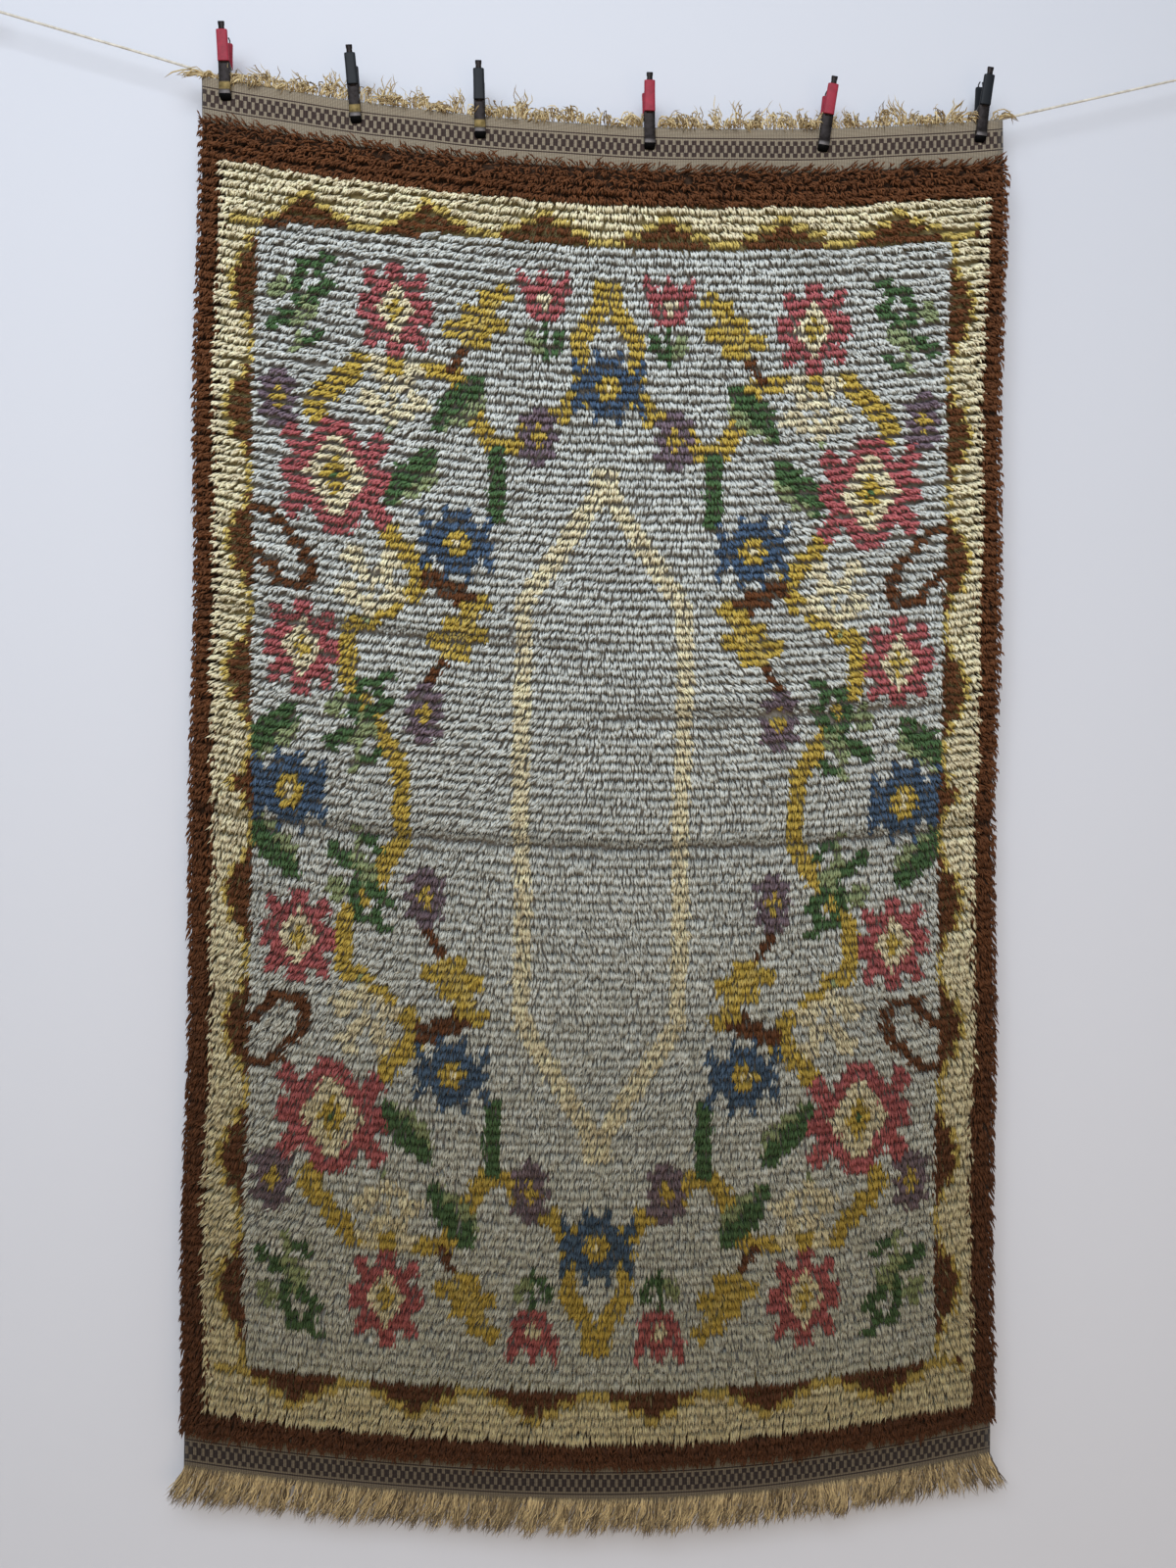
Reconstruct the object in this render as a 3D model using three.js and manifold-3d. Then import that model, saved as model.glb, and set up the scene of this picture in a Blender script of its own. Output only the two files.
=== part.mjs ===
// A long-piled rya rug hung face on from a taut line by six crocodile clips.
// Millimetres, +Z up. The rug faces -Y. The origin is the middle of the line's left end loop.
import * as THREE from 'three';
import { mergeVertices } from 'three/addons/utils/BufferGeometryUtils.js';
import Module from 'manifold-3d';

const wasm = await Module();
wasm.setup();

// Rug, measured flat. A gap parts each piece from the one it touches
const rugWidth = 1165;
const rugLength = 1970;
const bandLength = 62;
const weaveThickness = 3;
const gap = 0.3;

// How the rug hangs: its rows bow down in the middle, and its right corner is a little lower
const topSag = 40;
const bottomSag = 55;
const rightDrop = 9.4;

// The edge sags and bulges forward between clips, and both die out down the rug. The sides wave, and
// below the firm top band they draw in
const edge = { sag: 4, sagFade: 60, bulge: 8, bulgeFade: 120 };
const sideWave = { depth: 2, spacing: 95 };
const drawnIn = { left: 2, right: 5, full: 500 };
const slackFrom = 60;
const slackFull = 420;
const rollAcross = { depth: 5, spacing: 150 };
const rollDown = { depth: 4, spacing: 260 };

// Storage creases across the rug: down is a share of its length, out how far one stands forward
const creases = [
  { down: 0.375, across: -330, reach: 260, out: -5, width: 45 },
  { down: 0.425, across: 240, reach: 230, out: 4, width: 40 },
  { down: 0.52, across: 40, reach: 900, out: -6, width: 60 },
  { down: 0.82, across: -180, reach: 420, out: 4, width: 45 },
];
const widestCell = 125;
const narrowestCell = 25;

// Pile: a ridge and a groove for each row of knots, lumpy along the row
const rowCount = 150;
const columnCount = 6;
const grooveHeight = 8;
const ridgeHeight = 13.5;
const ridgePhase = 0.78;
const heightLumps = 3;
const placeLumps = 2.4;

// The pile's rim: knots splay past the cloth, and every third row has a longer lock
const rimSpread = 3;
const tuftSpread = 2;
const lockSpread = 5;
const lockDrop = 5;
const rimHeight = 0.55;
const rowsPerLock = 3;
const endLocks = 45;
const endLock = { between: 3, shortest: 9, varied: 9, rootHeight: 6, tipHeight: 3.5 };

// Fringe: locks fused to a narrow strip just past the rug's end
const lockCount = 74;
const strip = { height: 5, thickness: 2.4, overlap: 2 };
const lock = { width: 13, depth: 3, shares: [0.55, 1, 0.8] };
const topLock = [
  { along: 0, out: 0 },
  { along: 12, out: 0.5 },
  { along: 22, out: 4 },
  { along: 27, out: 10 },
];
const endFringeLock = [
  { along: 0, out: 0 },
  { along: 22, out: 1.5 },
  { along: 41, out: 2.5 },
  { along: 53, out: 2 },
];
const lengthSpread = 0.24;
const besideClip = 17;
const fringeMiddle = 12;
const curlsBackWithin = 500;

// Line and its end loops
const lineRadius = 2;
const lineSides = 8;
const lineSteps = 48;
const lineDepth = weaveThickness / 2 + gap + lineRadius;
const loopRadius = 8;
const knotRadius = 5;
const leftLoop = { x: -892, z: 88 };
const rightLoop = { x: 892, z: 76 };

// The line's route: down to the first clip, from clip to clip behind the rug's edge, and up
const linePoints = [
  { x: -877.5, z: 84.4 },
  { x: -760, z: 55 },
  { x: -650, z: 27.5 },
  { x: -585, z: 10 },
  { x: -548, z: -1 },
  { x: -500, z: -6 },
  { x: -440, z: -16 },
  { x: -365, z: -27 },
  { x: -310, z: -31.5 },
  { x: -250, z: -36 },
  { x: -187, z: -40.5 },
  { x: -120, z: -42.5 },
  { x: -50, z: -44.5 },
  { x: 0, z: -45.5 },
  { x: 59, z: -46 },
  { x: 130, z: -43.5 },
  { x: 220, z: -41 },
  { x: 315, z: -38 },
  { x: 380, z: -32 },
  { x: 460, z: -22 },
  { x: 551, z: -14 },
  { x: 590, z: -4 },
  { x: 650, z: 11.8 },
  { x: 760, z: 41 },
  { x: 877.5, z: 72.2 },
];

// Clips, left to right: grip is how far the jaw's tip reaches below the rug's top edge
const clips = [
  { x: -548, grip: 29, lean: -2.5, sleeve: 'red' },
  { x: -364, grip: 32, lean: -5.5, sleeve: 'black' },
  { x: -187, grip: 33, lean: -2, sleeve: 'black' },
  { x: 58, grip: 33, lean: -1.5, sleeve: 'red' },
  { x: 312, grip: 34, lean: 7.5, sleeve: 'red' },
  { x: 547, grip: 32, lean: 5.5, sleeve: 'black' },
];
const clipFlat = 11;

// A clip's leg, from its side: out is the distance from the cloth's middle, up from the jaw's tip
const legProfile = [
  { out: 2.5, up: 0 },
  { out: 7, up: 3 },
  { out: 10.5, up: 10 },
  { out: 8, up: 20 },
  { out: 8.6, up: 46 },
  { out: 9.3, up: 49.5 },
];
const handleProfile = [
  { out: 9.1, up: 47.5 },
  { out: 9.3, up: 49.5 },
  { out: 18.6, up: 103 },
];

// The leg's side flange: a toothed jaw, an open throat for the line, and an ear for the pivot
const flangeProfile = [
  { out: 2, up: 0 },
  { out: 7, up: 3 },
  { out: 10.5, up: 10 },
  { out: 8, up: 20 },
  { out: 8.6, up: 46 },
  { out: -3.5, up: 50.5 },
  { out: -3.5, up: 43 },
  { out: 6.6, up: 39.5 },
  { out: 6.6, up: 18 },
  { out: 2.2, up: 12 },
  { out: 3.6, up: 10 },
  { out: 2.2, up: 8 },
  { out: 3.6, up: 6 },
  { out: 2.1, up: 4 },
];
const legThickness = 1.2;
const flangeThickness = 1;
const handleWidth = 9;
const frontLegWidth = 16;
const backLegWidth = 13.2;
const sleeve = { width: 16.5, thickness: 6.6, corner: 2.6, start: 2.5, length: 41 };
const spring = { up: 46.6, radius: 3.8, sides: 10 };

const paint = {
  pile: 0x8f908a,
  weave: 0x8b8272,
  warp: 0xa89370,
  line: 0xb9b4a6,
  steel: 0x554a45,
  red: 0xa8404e,
  black: 0x232c36,
};

// A repeatable number from 0 to 1
function scatter(n) {
  const s = Math.sin(n * 127.1 + 311.7) * 43758.5453;
  return s - Math.floor(s);
}

// 0 at each clip and 1 half way to the next
function betweenClips(across) {
  for (let k = 0; k + 1 < clips.length; k += 1) {
    const a = clips[k].x + clipFlat;
    const b = clips[k + 1].x - clipFlat;
    if (across > a && across < b) {
      return Math.sin((Math.PI * (across - a)) / (b - a)) ** 2;
    }
  }
  return 0;
}

// How far a point hangs below its place in a flat rug
function sag(across, down) {
  const side = (2 * across) / rugWidth;
  const deep = topSag + ((bottomSag - topSag) * down) / rugLength;
  const atEdge = edge.sag * betweenClips(across) * Math.exp(-Math.max(down, 0) / edge.sagFade);
  return deep * (1 - side * side) + (rightDrop * (side + 1)) / 2 + atEdge;
}

// How far the cloth's middle stands forward of a flat hang
function fold(across, down) {
  const slack = THREE.MathUtils.smoothstep(down, slackFrom, slackFull);
  const share = down / rugLength;
  const fade = Math.exp(-Math.max(down, 0) / edge.bulgeFade);
  let out = edge.bulge * betweenClips(across) * fade;
  out += slack * rollAcross.depth * share * Math.sin(across / rollAcross.spacing + 0.6);
  out += slack * rollDown.depth * Math.sin(down / rollDown.spacing);
  for (const c of creases) {
    const along = Math.exp(-(((across - c.across) / c.reach) ** 4));
    out += c.out * along * Math.exp(-Math.abs(down - c.down * rugLength) / c.width);
  }
  return out;
}

// The hung place of a point of the flat rug: out is forward of the cloth's middle
function hang(across, down, out) {
  const side = (2 * across) / rugWidth;
  const wave = sideWave.depth * Math.sin(down / sideWave.spacing) * side ** 4;
  const inward = side < 0 ? drawnIn.left : drawnIn.right;
  const drawn = inward * THREE.MathUtils.smoothstep(down, 0, drawnIn.full) * side ** 3;
  const level = -down - sag(across, down);
  return new THREE.Vector3(across + wave - drawn, -fold(across, down) - out, level);
}

// Collects points and triangles into one geometry
class Skin {
  constructor() {
    this.points = [];
    this.faces = [];
  }

  point(p) {
    this.points.push(p.x, p.y, p.z);
    return this.points.length / 3 - 1;
  }

  face(a, b, c) {
    if (a !== b && b !== c && a !== c) {
      this.faces.push(a, b, c);
    }
  }

  // Faces of a grid of point numbers, seen from -Y unless it is turned
  grid(rows, turned) {
    for (let j = 0; j + 1 < rows.length; j += 1) {
      for (let i = 0; i + 1 < rows[j].length; i += 1) {
        const [a, b] = [rows[j][i], rows[j + 1][i]];
        const [c, d] = [rows[j][i + 1], rows[j + 1][i + 1]];
        if (turned) {
          this.face(a, c, b);
          this.face(c, d, b);
        } else {
          this.face(a, b, c);
          this.face(c, b, d);
        }
      }
    }
  }

  span(a, b) {
    const [p, q] = [a, b].map((n) => new THREE.Vector3().fromArray(this.points, 3 * n));
    return p.distanceTo(q);
  }

  // Joins two rows of points that run the same way, always across the shorter way
  stitch(front, back) {
    let j = 0;
    let k = 0;
    while (j + 1 < front.length || k + 1 < back.length) {
      const frontLeft = j + 1 < front.length;
      const backLeft = k + 1 < back.length;
      const onFront = frontLeft
        && (!backLeft || this.span(front[j + 1], back[k]) < this.span(front[j], back[k + 1]));
      if (onFront) {
        this.face(front[j + 1], front[j], back[k]);
        j += 1;
      } else {
        this.face(back[k], back[k + 1], front[j]);
        k += 1;
      }
    }
  }

  geometry() {
    const made = new THREE.BufferGeometry();
    made.setAttribute('position', new THREE.Float32BufferAttribute(this.points, 3));
    made.setIndex(this.faces);
    return made;
  }
}

// The four sides of a grid, in the order in which its front faces use them
function sides(rows) {
  return {
    left: rows.map((row) => row[0]),
    bottom: rows[rows.length - 1],
    right: rows.map((row) => row[row.length - 1]).reverse(),
    top: [...rows[0]].reverse(),
  };
}

// Places of the grid lines across the rug: flat beside each clip, with two more between clips
function linesAcross() {
  const lines = [-rugWidth / 2];
  clips.forEach((clip, k) => {
    lines.push(clip.x - clipFlat, clip.x + clipFlat);
    if (k + 1 < clips.length) {
      const from = clip.x + clipFlat;
      const third = (clips[k + 1].x - clipFlat - from) / 3;
      lines.push(from + third, from + 2 * third);
    }
  });
  lines.push(rugWidth / 2);
  return lines;
}

// Places of the grid lines down the pile: on and beside each crease, and evenly between
function linesDown() {
  const marks = [bandLength, rugLength - bandLength];
  for (const c of creases) {
    const middle = c.down * rugLength;
    marks.push(middle - c.width, middle, middle + c.width);
  }
  marks.sort((a, b) => a - b);
  const lines = [marks[0]];
  for (const mark of marks.slice(1)) {
    const from = lines[lines.length - 1];
    const cells = mark - from < narrowestCell ? 0 : Math.ceil((mark - from) / widestCell);
    for (let k = 1; k <= cells; k += 1) {
      lines.push(from + ((mark - from) * k) / cells);
    }
  }
  return lines;
}

// A sheet on the grid lines down, between two distances forward of the cloth's middle
function sheet(down, near, far) {
  const skin = new Skin();
  const layer = (out) => down.map((v) => linesAcross().map((u) => skin.point(hang(u, v, out))));
  const front = layer(far);
  const back = layer(near);
  skin.grid(front, false);
  skin.grid(back, true);
  for (const side of ['left', 'bottom', 'right', 'top']) {
    skin.stitch(sides(front)[side], sides(back)[side]);
  }
  return skin.geometry();
}

function groundWeave() {
  const half = bandLength / 2;
  const down = [0, half, ...linesDown(), rugLength - half, rugLength];
  return sheet(down, -weaveThickness / 2, weaveThickness / 2);
}

// One line of the pile's front: the ridge or the groove of a row of knots
function pileLine(skin, row, isRidge, floor) {
  const pitch = (rugLength - 2 * bandLength) / rowCount;
  const line = [];
  for (let i = 0; i <= columnCount; i += 1) {
    const side = (2 * i) / columnCount - 1;
    const atRim = Math.abs(side) === 1;
    const lump = scatter(row * 17 + i * 5 + (isRidge ? 2 : 0)) - 0.5;
    const hasLock = atRim && isRidge && (row + (side > 0 ? 1 : 0)) % rowsPerLock === 0;
    const tuft = (hasLock ? lockSpread : tuftSpread) * (0.6 + 0.4 * scatter(row + 9 * i));
    const spread = atRim ? rimSpread + (isRidge ? tuft : 0) : 0;
    const drop = row ? placeLumps * lump + (hasLock ? lockDrop : 0) : 0;
    const down = bandLength + pitch * (row + (isRidge ? ridgePhase : 0)) + drop;
    const height = (isRidge ? ridgeHeight : grooveHeight) + heightLumps * lump;
    const across = (rugWidth / 2 + spread) * side;
    line.push(skin.point(hang(across, down, floor + height * (atRim ? rimHeight : 1))));
  }
  return line;
}

// The last row's locks, which hang over the flat-woven band, between the row's own end points
function pileEnd(skin, lastRow, floor) {
  const end = rugLength - bandLength;
  const pitch = (rugWidth + 2 * rimSpread) / endLocks;
  const line = [lastRow[0]];
  for (let k = 0; k < endLocks; k += 1) {
    const place = (step) => (k + step - endLocks / 2) * pitch;
    const reach = endLock.shortest + endLock.varied * scatter(k + 50);
    const tip = hang(place(0.4 + 0.2 * scatter(k)), end + reach, floor + endLock.tipHeight);
    if (k) {
      line.push(skin.point(hang(place(0), end + endLock.between, floor + endLock.rootHeight)));
    }
    line.push(skin.point(tip));
  }
  line.push(lastRow[columnCount]);
  return line;
}

// The pile: its back lies on the ground weave, and its front has a ridge for each row of knots
function pile() {
  const skin = new Skin();
  const floor = weaveThickness / 2 + gap;
  const back = linesDown().map((v) => linesAcross().map((u) => skin.point(hang(u, v, floor))));
  const front = [];
  for (let row = 0; row < rowCount; row += 1) {
    front.push(pileLine(skin, row, false, floor), pileLine(skin, row, true, floor));
  }
  const lastRow = front[front.length - 1];
  const locks = pileEnd(skin, lastRow, floor);
  skin.grid(front, false);
  skin.grid(back, true);
  skin.stitch(lastRow, locks);
  skin.stitch(sides(front).left, sides(back).left);
  skin.stitch(locks, sides(back).bottom);
  skin.stitch(sides(front).right, sides(back).right);
  skin.stitch(sides(front).top, sides(back).top);
  return skin.geometry();
}

// A closed geometry as a solid that can be joined to others
function solidOf(geometry) {
  const bare = geometry.clone();
  bare.deleteAttribute('normal');
  bare.deleteAttribute('uv');
  const merged = mergeVertices(bare, 1e-4);
  return new wasm.Manifold(new wasm.Mesh({
    numProp: 3,
    vertProperties: new Float32Array(merged.attributes.position.array),
    triVerts: new Uint32Array(merged.index.array),
  }));
}

function geometryOf(solid) {
  const mesh = solid.getMesh();
  const made = new THREE.BufferGeometry();
  made.setAttribute('position', new THREE.BufferAttribute(mesh.vertProperties, 3));
  made.setIndex(new THREE.BufferAttribute(mesh.triVerts, 1));
  return made;
}

// A lock of fringe: three-sided, through the given places, thin at its root and pointed at its end
function fringeLock(places) {
  const skin = new Skin();
  const corners = [[-0.5, -0.5], [0.5, -0.5], [0, 0.5]];
  const rings = lock.shares.map((share, k) => corners.map(([x, y]) => {
    const corner = new THREE.Vector3(x * lock.width * share, y * lock.depth * share, 0);
    return skin.point(corner.add(places[k]));
  }));
  const tip = skin.point(places[places.length - 1]);
  const upward = places[1].z > places[0].z;
  const face = (a, b, c) => (upward ? skin.face(a, b, c) : skin.face(a, c, b));
  face(rings[0][0], rings[0][2], rings[0][1]);
  rings.forEach((ring, k) => {
    const above = rings[k + 1];
    for (let i = 0; i < 3; i += 1) {
      const next = (i + 1) % 3;
      if (above) {
        face(ring[i], ring[next], above[i]);
        face(ring[next], above[next], above[i]);
      } else {
        face(ring[i], ring[next], tip);
      }
    }
  });
  return solidOf(skin.geometry());
}

// The places that one lock of the top fringe passes through: up, and curled over
function topLockPlaces(k, across) {
  const corner = (2 * (k + 0.5)) / lockCount - 1;
  const curl = Math.abs(across) < curlsBackWithin ? Math.sin(k * 0.9) : 1;
  const lean = 26 * corner ** 9 + 4 * Math.sin(k * 0.7);
  const length = 1 - lengthSpread * (0.5 - scatter(k)) - 0.35 * Math.abs(corner ** 9);
  return topLock.map((step, n) => {
    const place = hang(across, strip.overlap - strip.height, 0);
    place.x += lean * (n / (topLock.length - 1)) ** 1.4;
    place.y -= step.out * curl;
    place.z += step.along * length;
    return place;
  });
}

// The places that one lock of the end fringe passes through: down, and blown to the left
function endLockPlaces(k, across) {
  const corner = (2 * (k + 0.5)) / lockCount - 1;
  const lean = 20 * corner ** 9 - 9 - 4 * Math.sin(k * 0.35);
  const length = 1 - lengthSpread * (0.5 - scatter(k + 200));
  return endFringeLock.map((step, n) => {
    const place = hang(across, rugLength + strip.height - strip.overlap, 0);
    place.x += lean * (n / (endFringeLock.length - 1)) ** 1.4;
    place.y -= step.out;
    place.z -= step.along * length;
    return place;
  });
}

// Where a leaning clip passes through the top fringe
function placeInFringe(clip) {
  return clip.x + (clip.grip + fringeMiddle) * Math.sin(THREE.MathUtils.degToRad(clip.lean));
}

// A fringe: its strip, with its locks fused to it, apart from those too near a place kept clear
function fringe(down, placesOf, keptClear) {
  let solid = solidOf(sheet(down, -strip.thickness / 2, strip.thickness / 2));
  for (let k = 0; k < lockCount; k += 1) {
    const across = ((k + 0.5) / lockCount - 0.5) * (rugWidth - lock.width / 2);
    if (keptClear.every((place) => Math.abs(place - across) > besideClip)) {
      solid = solid.add(fringeLock(placesOf(k, across)));
    }
  }
  return geometryOf(solid);
}

function topFringe() {
  return fringe([-strip.height, -gap], topLockPlaces, clips.map(placeInFringe));
}

function endFringe() {
  return fringe([rugLength + gap, rugLength + strip.height], endLockPlaces, []);
}

// The taut line, a round tube along its route
function line() {
  const route = linePoints.map((p) => new THREE.Vector3(p.x, lineDepth, p.z));
  const section = new THREE.Shape();
  for (let k = 0; k < lineSides; k += 1) {
    const turn = (2 * Math.PI * k) / lineSides;
    const corner = [lineRadius * Math.cos(turn), lineRadius * Math.sin(turn)];
    if (k) {
      section.lineTo(...corner);
    } else {
      section.moveTo(...corner);
    }
  }
  return new THREE.ExtrudeGeometry(section, {
    steps: lineSteps,
    extrudePath: new THREE.CatmullRomCurve3(route, false, 'centripetal'),
  });
}

// A tied end loop: a ring of the line's own cord, and its knot where the line comes in
function endLoop(loop, lineEnd) {
  const ring = new THREE.TorusGeometry(loopRadius, lineRadius, 6, 16);
  ring.rotateX(Math.PI / 2);
  ring.translate(loop.x, lineDepth, loop.z);
  const toLine = new THREE.Vector3(lineEnd.x - loop.x, 0, lineEnd.z - loop.z);
  toLine.setLength(toLine.length() - gap - knotRadius);
  const knot = new THREE.SphereGeometry(knotRadius, 10, 6);
  knot.rotateZ(Math.PI / 2);
  knot.translate(loop.x + toLine.x, lineDepth, loop.z + toLine.z);
  return geometryOf(solidOf(ring).add(solidOf(knot)));
}

// A side outline made into a plate between two places across, for the front leg or the back one
function plate(outline, isFront, from, to) {
  const shape = new THREE.Shape(outline.map((p) => new THREE.Vector2(isFront ? -p.out : p.out, p.up)));
  const made = new THREE.ExtrudeGeometry(shape, { depth: to - from, bevelEnabled: false });
  made.applyMatrix4(new THREE.Matrix4().makeBasis(
    new THREE.Vector3(0, 1, 0),
    new THREE.Vector3(0, 0, 1),
    new THREE.Vector3(1, 0, 0),
  ));
  made.translate(from, 0, 0);
  return made;
}

// The outline of a bent strip of sheet metal, from the line through its middle
function bentStrip(middle) {
  const outline = [];
  for (const way of [1, -1]) {
    const edgeLine = middle.map((p, k) => {
      const a = middle[Math.max(k - 1, 0)];
      const b = middle[Math.min(k + 1, middle.length - 1)];
      const shift = (way * legThickness) / (2 * Math.hypot(b.out - a.out, b.up - a.up));
      return { out: p.out + shift * (b.up - a.up), up: p.up - shift * (b.out - a.out) };
    });
    outline.push(...(way > 0 ? edgeLine : edgeLine.reverse()));
  }
  return outline;
}

function leg(isFront) {
  const half = (isFront ? frontLegWidth : backLegWidth) / 2;
  const pieces = [
    plate(bentStrip(legProfile), isFront, -half, half),
    plate(bentStrip(handleProfile), isFront, -handleWidth / 2, handleWidth / 2),
    plate(flangeProfile, isFront, -half, flangeThickness - half),
    plate(flangeProfile, isFront, half - flangeThickness, half),
  ];
  return geometryOf(pieces.map(solidOf).reduce((all, solid) => all.add(solid)));
}

// A handle's sleeve: an oval tube with a slot for the leg, in the handle's own direction
function sleeveTube(isFront) {
  const [x, y] = [sleeve.width / 2 - sleeve.corner, sleeve.thickness / 2 - sleeve.corner];
  const outline = new THREE.Shape();
  outline.absarc(x, y, sleeve.corner, 0, 0.5 * Math.PI);
  outline.absarc(-x, y, sleeve.corner, 0.5 * Math.PI, Math.PI);
  outline.absarc(-x, -y, sleeve.corner, Math.PI, 1.5 * Math.PI);
  outline.absarc(x, -y, sleeve.corner, 1.5 * Math.PI, 2 * Math.PI);
  const [slotX, slotY] = [handleWidth / 2 + gap, legThickness / 2 + gap];
  outline.holes.push(new THREE.Path([
    new THREE.Vector2(-slotX, -slotY),
    new THREE.Vector2(-slotX, slotY),
    new THREE.Vector2(slotX, slotY),
    new THREE.Vector2(slotX, -slotY),
  ]));
  const made = new THREE.ExtrudeGeometry(outline, {
    depth: sleeve.length,
    bevelEnabled: false,
    curveSegments: 2,
  });
  const [, start, end] = handleProfile;
  const splay = Math.atan2(end.out - start.out, end.up - start.up);
  made.translate(0, 0, sleeve.start);
  made.rotateX(isFront ? splay : -splay);
  made.translate(0, isFront ? -start.out : start.out, start.up);
  return made;
}

function pivotSpring() {
  const length = backLegWidth - 2 * flangeThickness - 2 * gap;
  const made = new THREE.CylinderGeometry(spring.radius, spring.radius, length, spring.sides);
  made.rotateZ(Math.PI / 2);
  made.translate(0, 0, spring.up);
  return made;
}

function piece(name, geometry, color, roughness, metalness = 0) {
  const material = new THREE.MeshStandardMaterial({ color, roughness, metalness });
  const mesh = new THREE.Mesh(geometry, material);
  mesh.name = name;
  return mesh;
}

// One clip, set on the rug's edge at its own place and lean
function clipGroup(clip, number) {
  const group = new THREE.Group();
  for (const isFront of [true, false]) {
    const name = `clip_${number}_${isFront ? 'front' : 'back'}`;
    group.add(piece(`${name}_leg`, leg(isFront), paint.steel, 0.45, 0.8));
    group.add(piece(`${name}_sleeve`, sleeveTube(isFront), paint[clip.sleeve], 0.4));
  }
  group.add(piece(`clip_${number}_spring`, pivotSpring(), paint.steel, 0.4, 0.9));
  group.position.set(clip.x, 0, -sag(clip.x, 0) - clip.grip);
  group.rotation.y = THREE.MathUtils.degToRad(clip.lean);
  return group;
}

const hung = new THREE.Group();
hung.add(piece('ground_weave', groundWeave(), paint.weave, 0.95));
hung.add(piece('pile', pile(), paint.pile, 1));
hung.add(piece('fringe_top', topFringe(), paint.warp, 0.95));
hung.add(piece('fringe_bottom', endFringe(), paint.warp, 0.95));
hung.add(piece('line', line(), paint.line, 0.8));
hung.add(piece('line_loop_left', endLoop(leftLoop, linePoints[0]), paint.line, 0.8));
hung.add(piece('line_loop_right', endLoop(rightLoop, linePoints[linePoints.length - 1]), paint.line, 0.8));
clips.forEach((clip, k) => hung.add(clipGroup(clip, k + 1)));
hung.position.set(-leftLoop.x, -lineDepth, -leftLoop.z);

const rug = new THREE.Group();
rug.add(hung);

export default rug;
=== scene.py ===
"""A shaggy rya rug hung face on from a taut line by six crocodile clips, dressed around its solids.

Lengths in the functions are millimetres of the flat rug: across from its middle, down from its top
edge and out from the cloth's middle. hang() turns such a point into its place in the frame.
"""

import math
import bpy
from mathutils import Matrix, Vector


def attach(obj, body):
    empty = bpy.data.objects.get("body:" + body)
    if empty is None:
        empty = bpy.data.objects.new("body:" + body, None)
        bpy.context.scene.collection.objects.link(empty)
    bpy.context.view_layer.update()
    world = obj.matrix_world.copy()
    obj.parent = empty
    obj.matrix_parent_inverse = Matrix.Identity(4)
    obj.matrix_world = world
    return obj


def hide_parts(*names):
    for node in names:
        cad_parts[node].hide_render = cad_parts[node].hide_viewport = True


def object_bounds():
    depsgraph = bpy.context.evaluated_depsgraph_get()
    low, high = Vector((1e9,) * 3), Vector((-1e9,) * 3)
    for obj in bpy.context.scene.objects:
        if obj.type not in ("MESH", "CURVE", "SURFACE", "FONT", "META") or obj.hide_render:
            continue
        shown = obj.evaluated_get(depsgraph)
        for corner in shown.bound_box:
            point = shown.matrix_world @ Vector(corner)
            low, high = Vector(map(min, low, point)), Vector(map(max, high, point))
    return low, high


bl_info = {
    "name": "Rya Rug on a Line",
    "version": (1, 0, 0),
    "blender": (4, 5, 0),
    "location": "View3D > Sidebar > Rya",
    "description": "Knots a long-piled rya rug and hangs it from a line by six clips",
    "category": "Object",
}

from collections import namedtuple

import bpy
import numpy as np
from bpy.props import FloatProperty, FloatVectorProperty, IntProperty, PointerProperty
from mathutils import Matrix, Vector

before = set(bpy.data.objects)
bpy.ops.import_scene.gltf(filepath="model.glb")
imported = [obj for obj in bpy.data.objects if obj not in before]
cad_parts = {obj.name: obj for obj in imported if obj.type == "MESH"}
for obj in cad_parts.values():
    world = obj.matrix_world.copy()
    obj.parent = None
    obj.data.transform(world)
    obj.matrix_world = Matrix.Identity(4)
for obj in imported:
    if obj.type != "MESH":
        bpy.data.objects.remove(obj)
CAD_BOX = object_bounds()
MM = 0.001

# The rug's own sizes and hang, the same as its solids
RUG_WIDTH = 1165.0
RUG_LENGTH = 1970.0
BAND_LENGTH = 62.0
WEAVE_THICKNESS = 3.0
TOP_SAG = 40.0
BOTTOM_SAG = 55.0
RIGHT_DROP = 9.4
EDGE_SAG, EDGE_SAG_FADE = 4.0, 60.0
EDGE_BULGE, EDGE_BULGE_FADE = 8.0, 120.0
SIDE_WAVE, SIDE_WAVE_SPACING = 2.0, 95.0
DRAWN_IN_LEFT, DRAWN_IN_RIGHT, DRAWN_IN_FULL = 2.0, 5.0, 500.0
SLACK_FROM, SLACK_FULL = 60.0, 420.0
ROLL_ACROSS, ROLL_ACROSS_SPACING = 5.0, 150.0
ROLL_DOWN, ROLL_DOWN_SPACING = 4.0, 260.0
CLIP_FLAT = 11.0

Crease = namedtuple("Crease", "down across reach out width")
CREASES = (
    Crease(0.375, -330, 260, -5, 45),
    Crease(0.425, 240, 230, 4, 40),
    Crease(0.52, 40, 900, -6, 60),
    Crease(0.82, -180, 420, 4, 45),
)

Clip = namedtuple("Clip", "x grip lean sleeve")
CLIPS = (
    Clip(-548, 29, -2.5, "red"),
    Clip(-364, 32, -5.5, "black"),
    Clip(-187, 33, -2, "black"),
    Clip(58, 33, -1.5, "red"),
    Clip(312, 34, 7.5, "red"),
    Clip(547, 32, 5.5, "black"),
)

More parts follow.
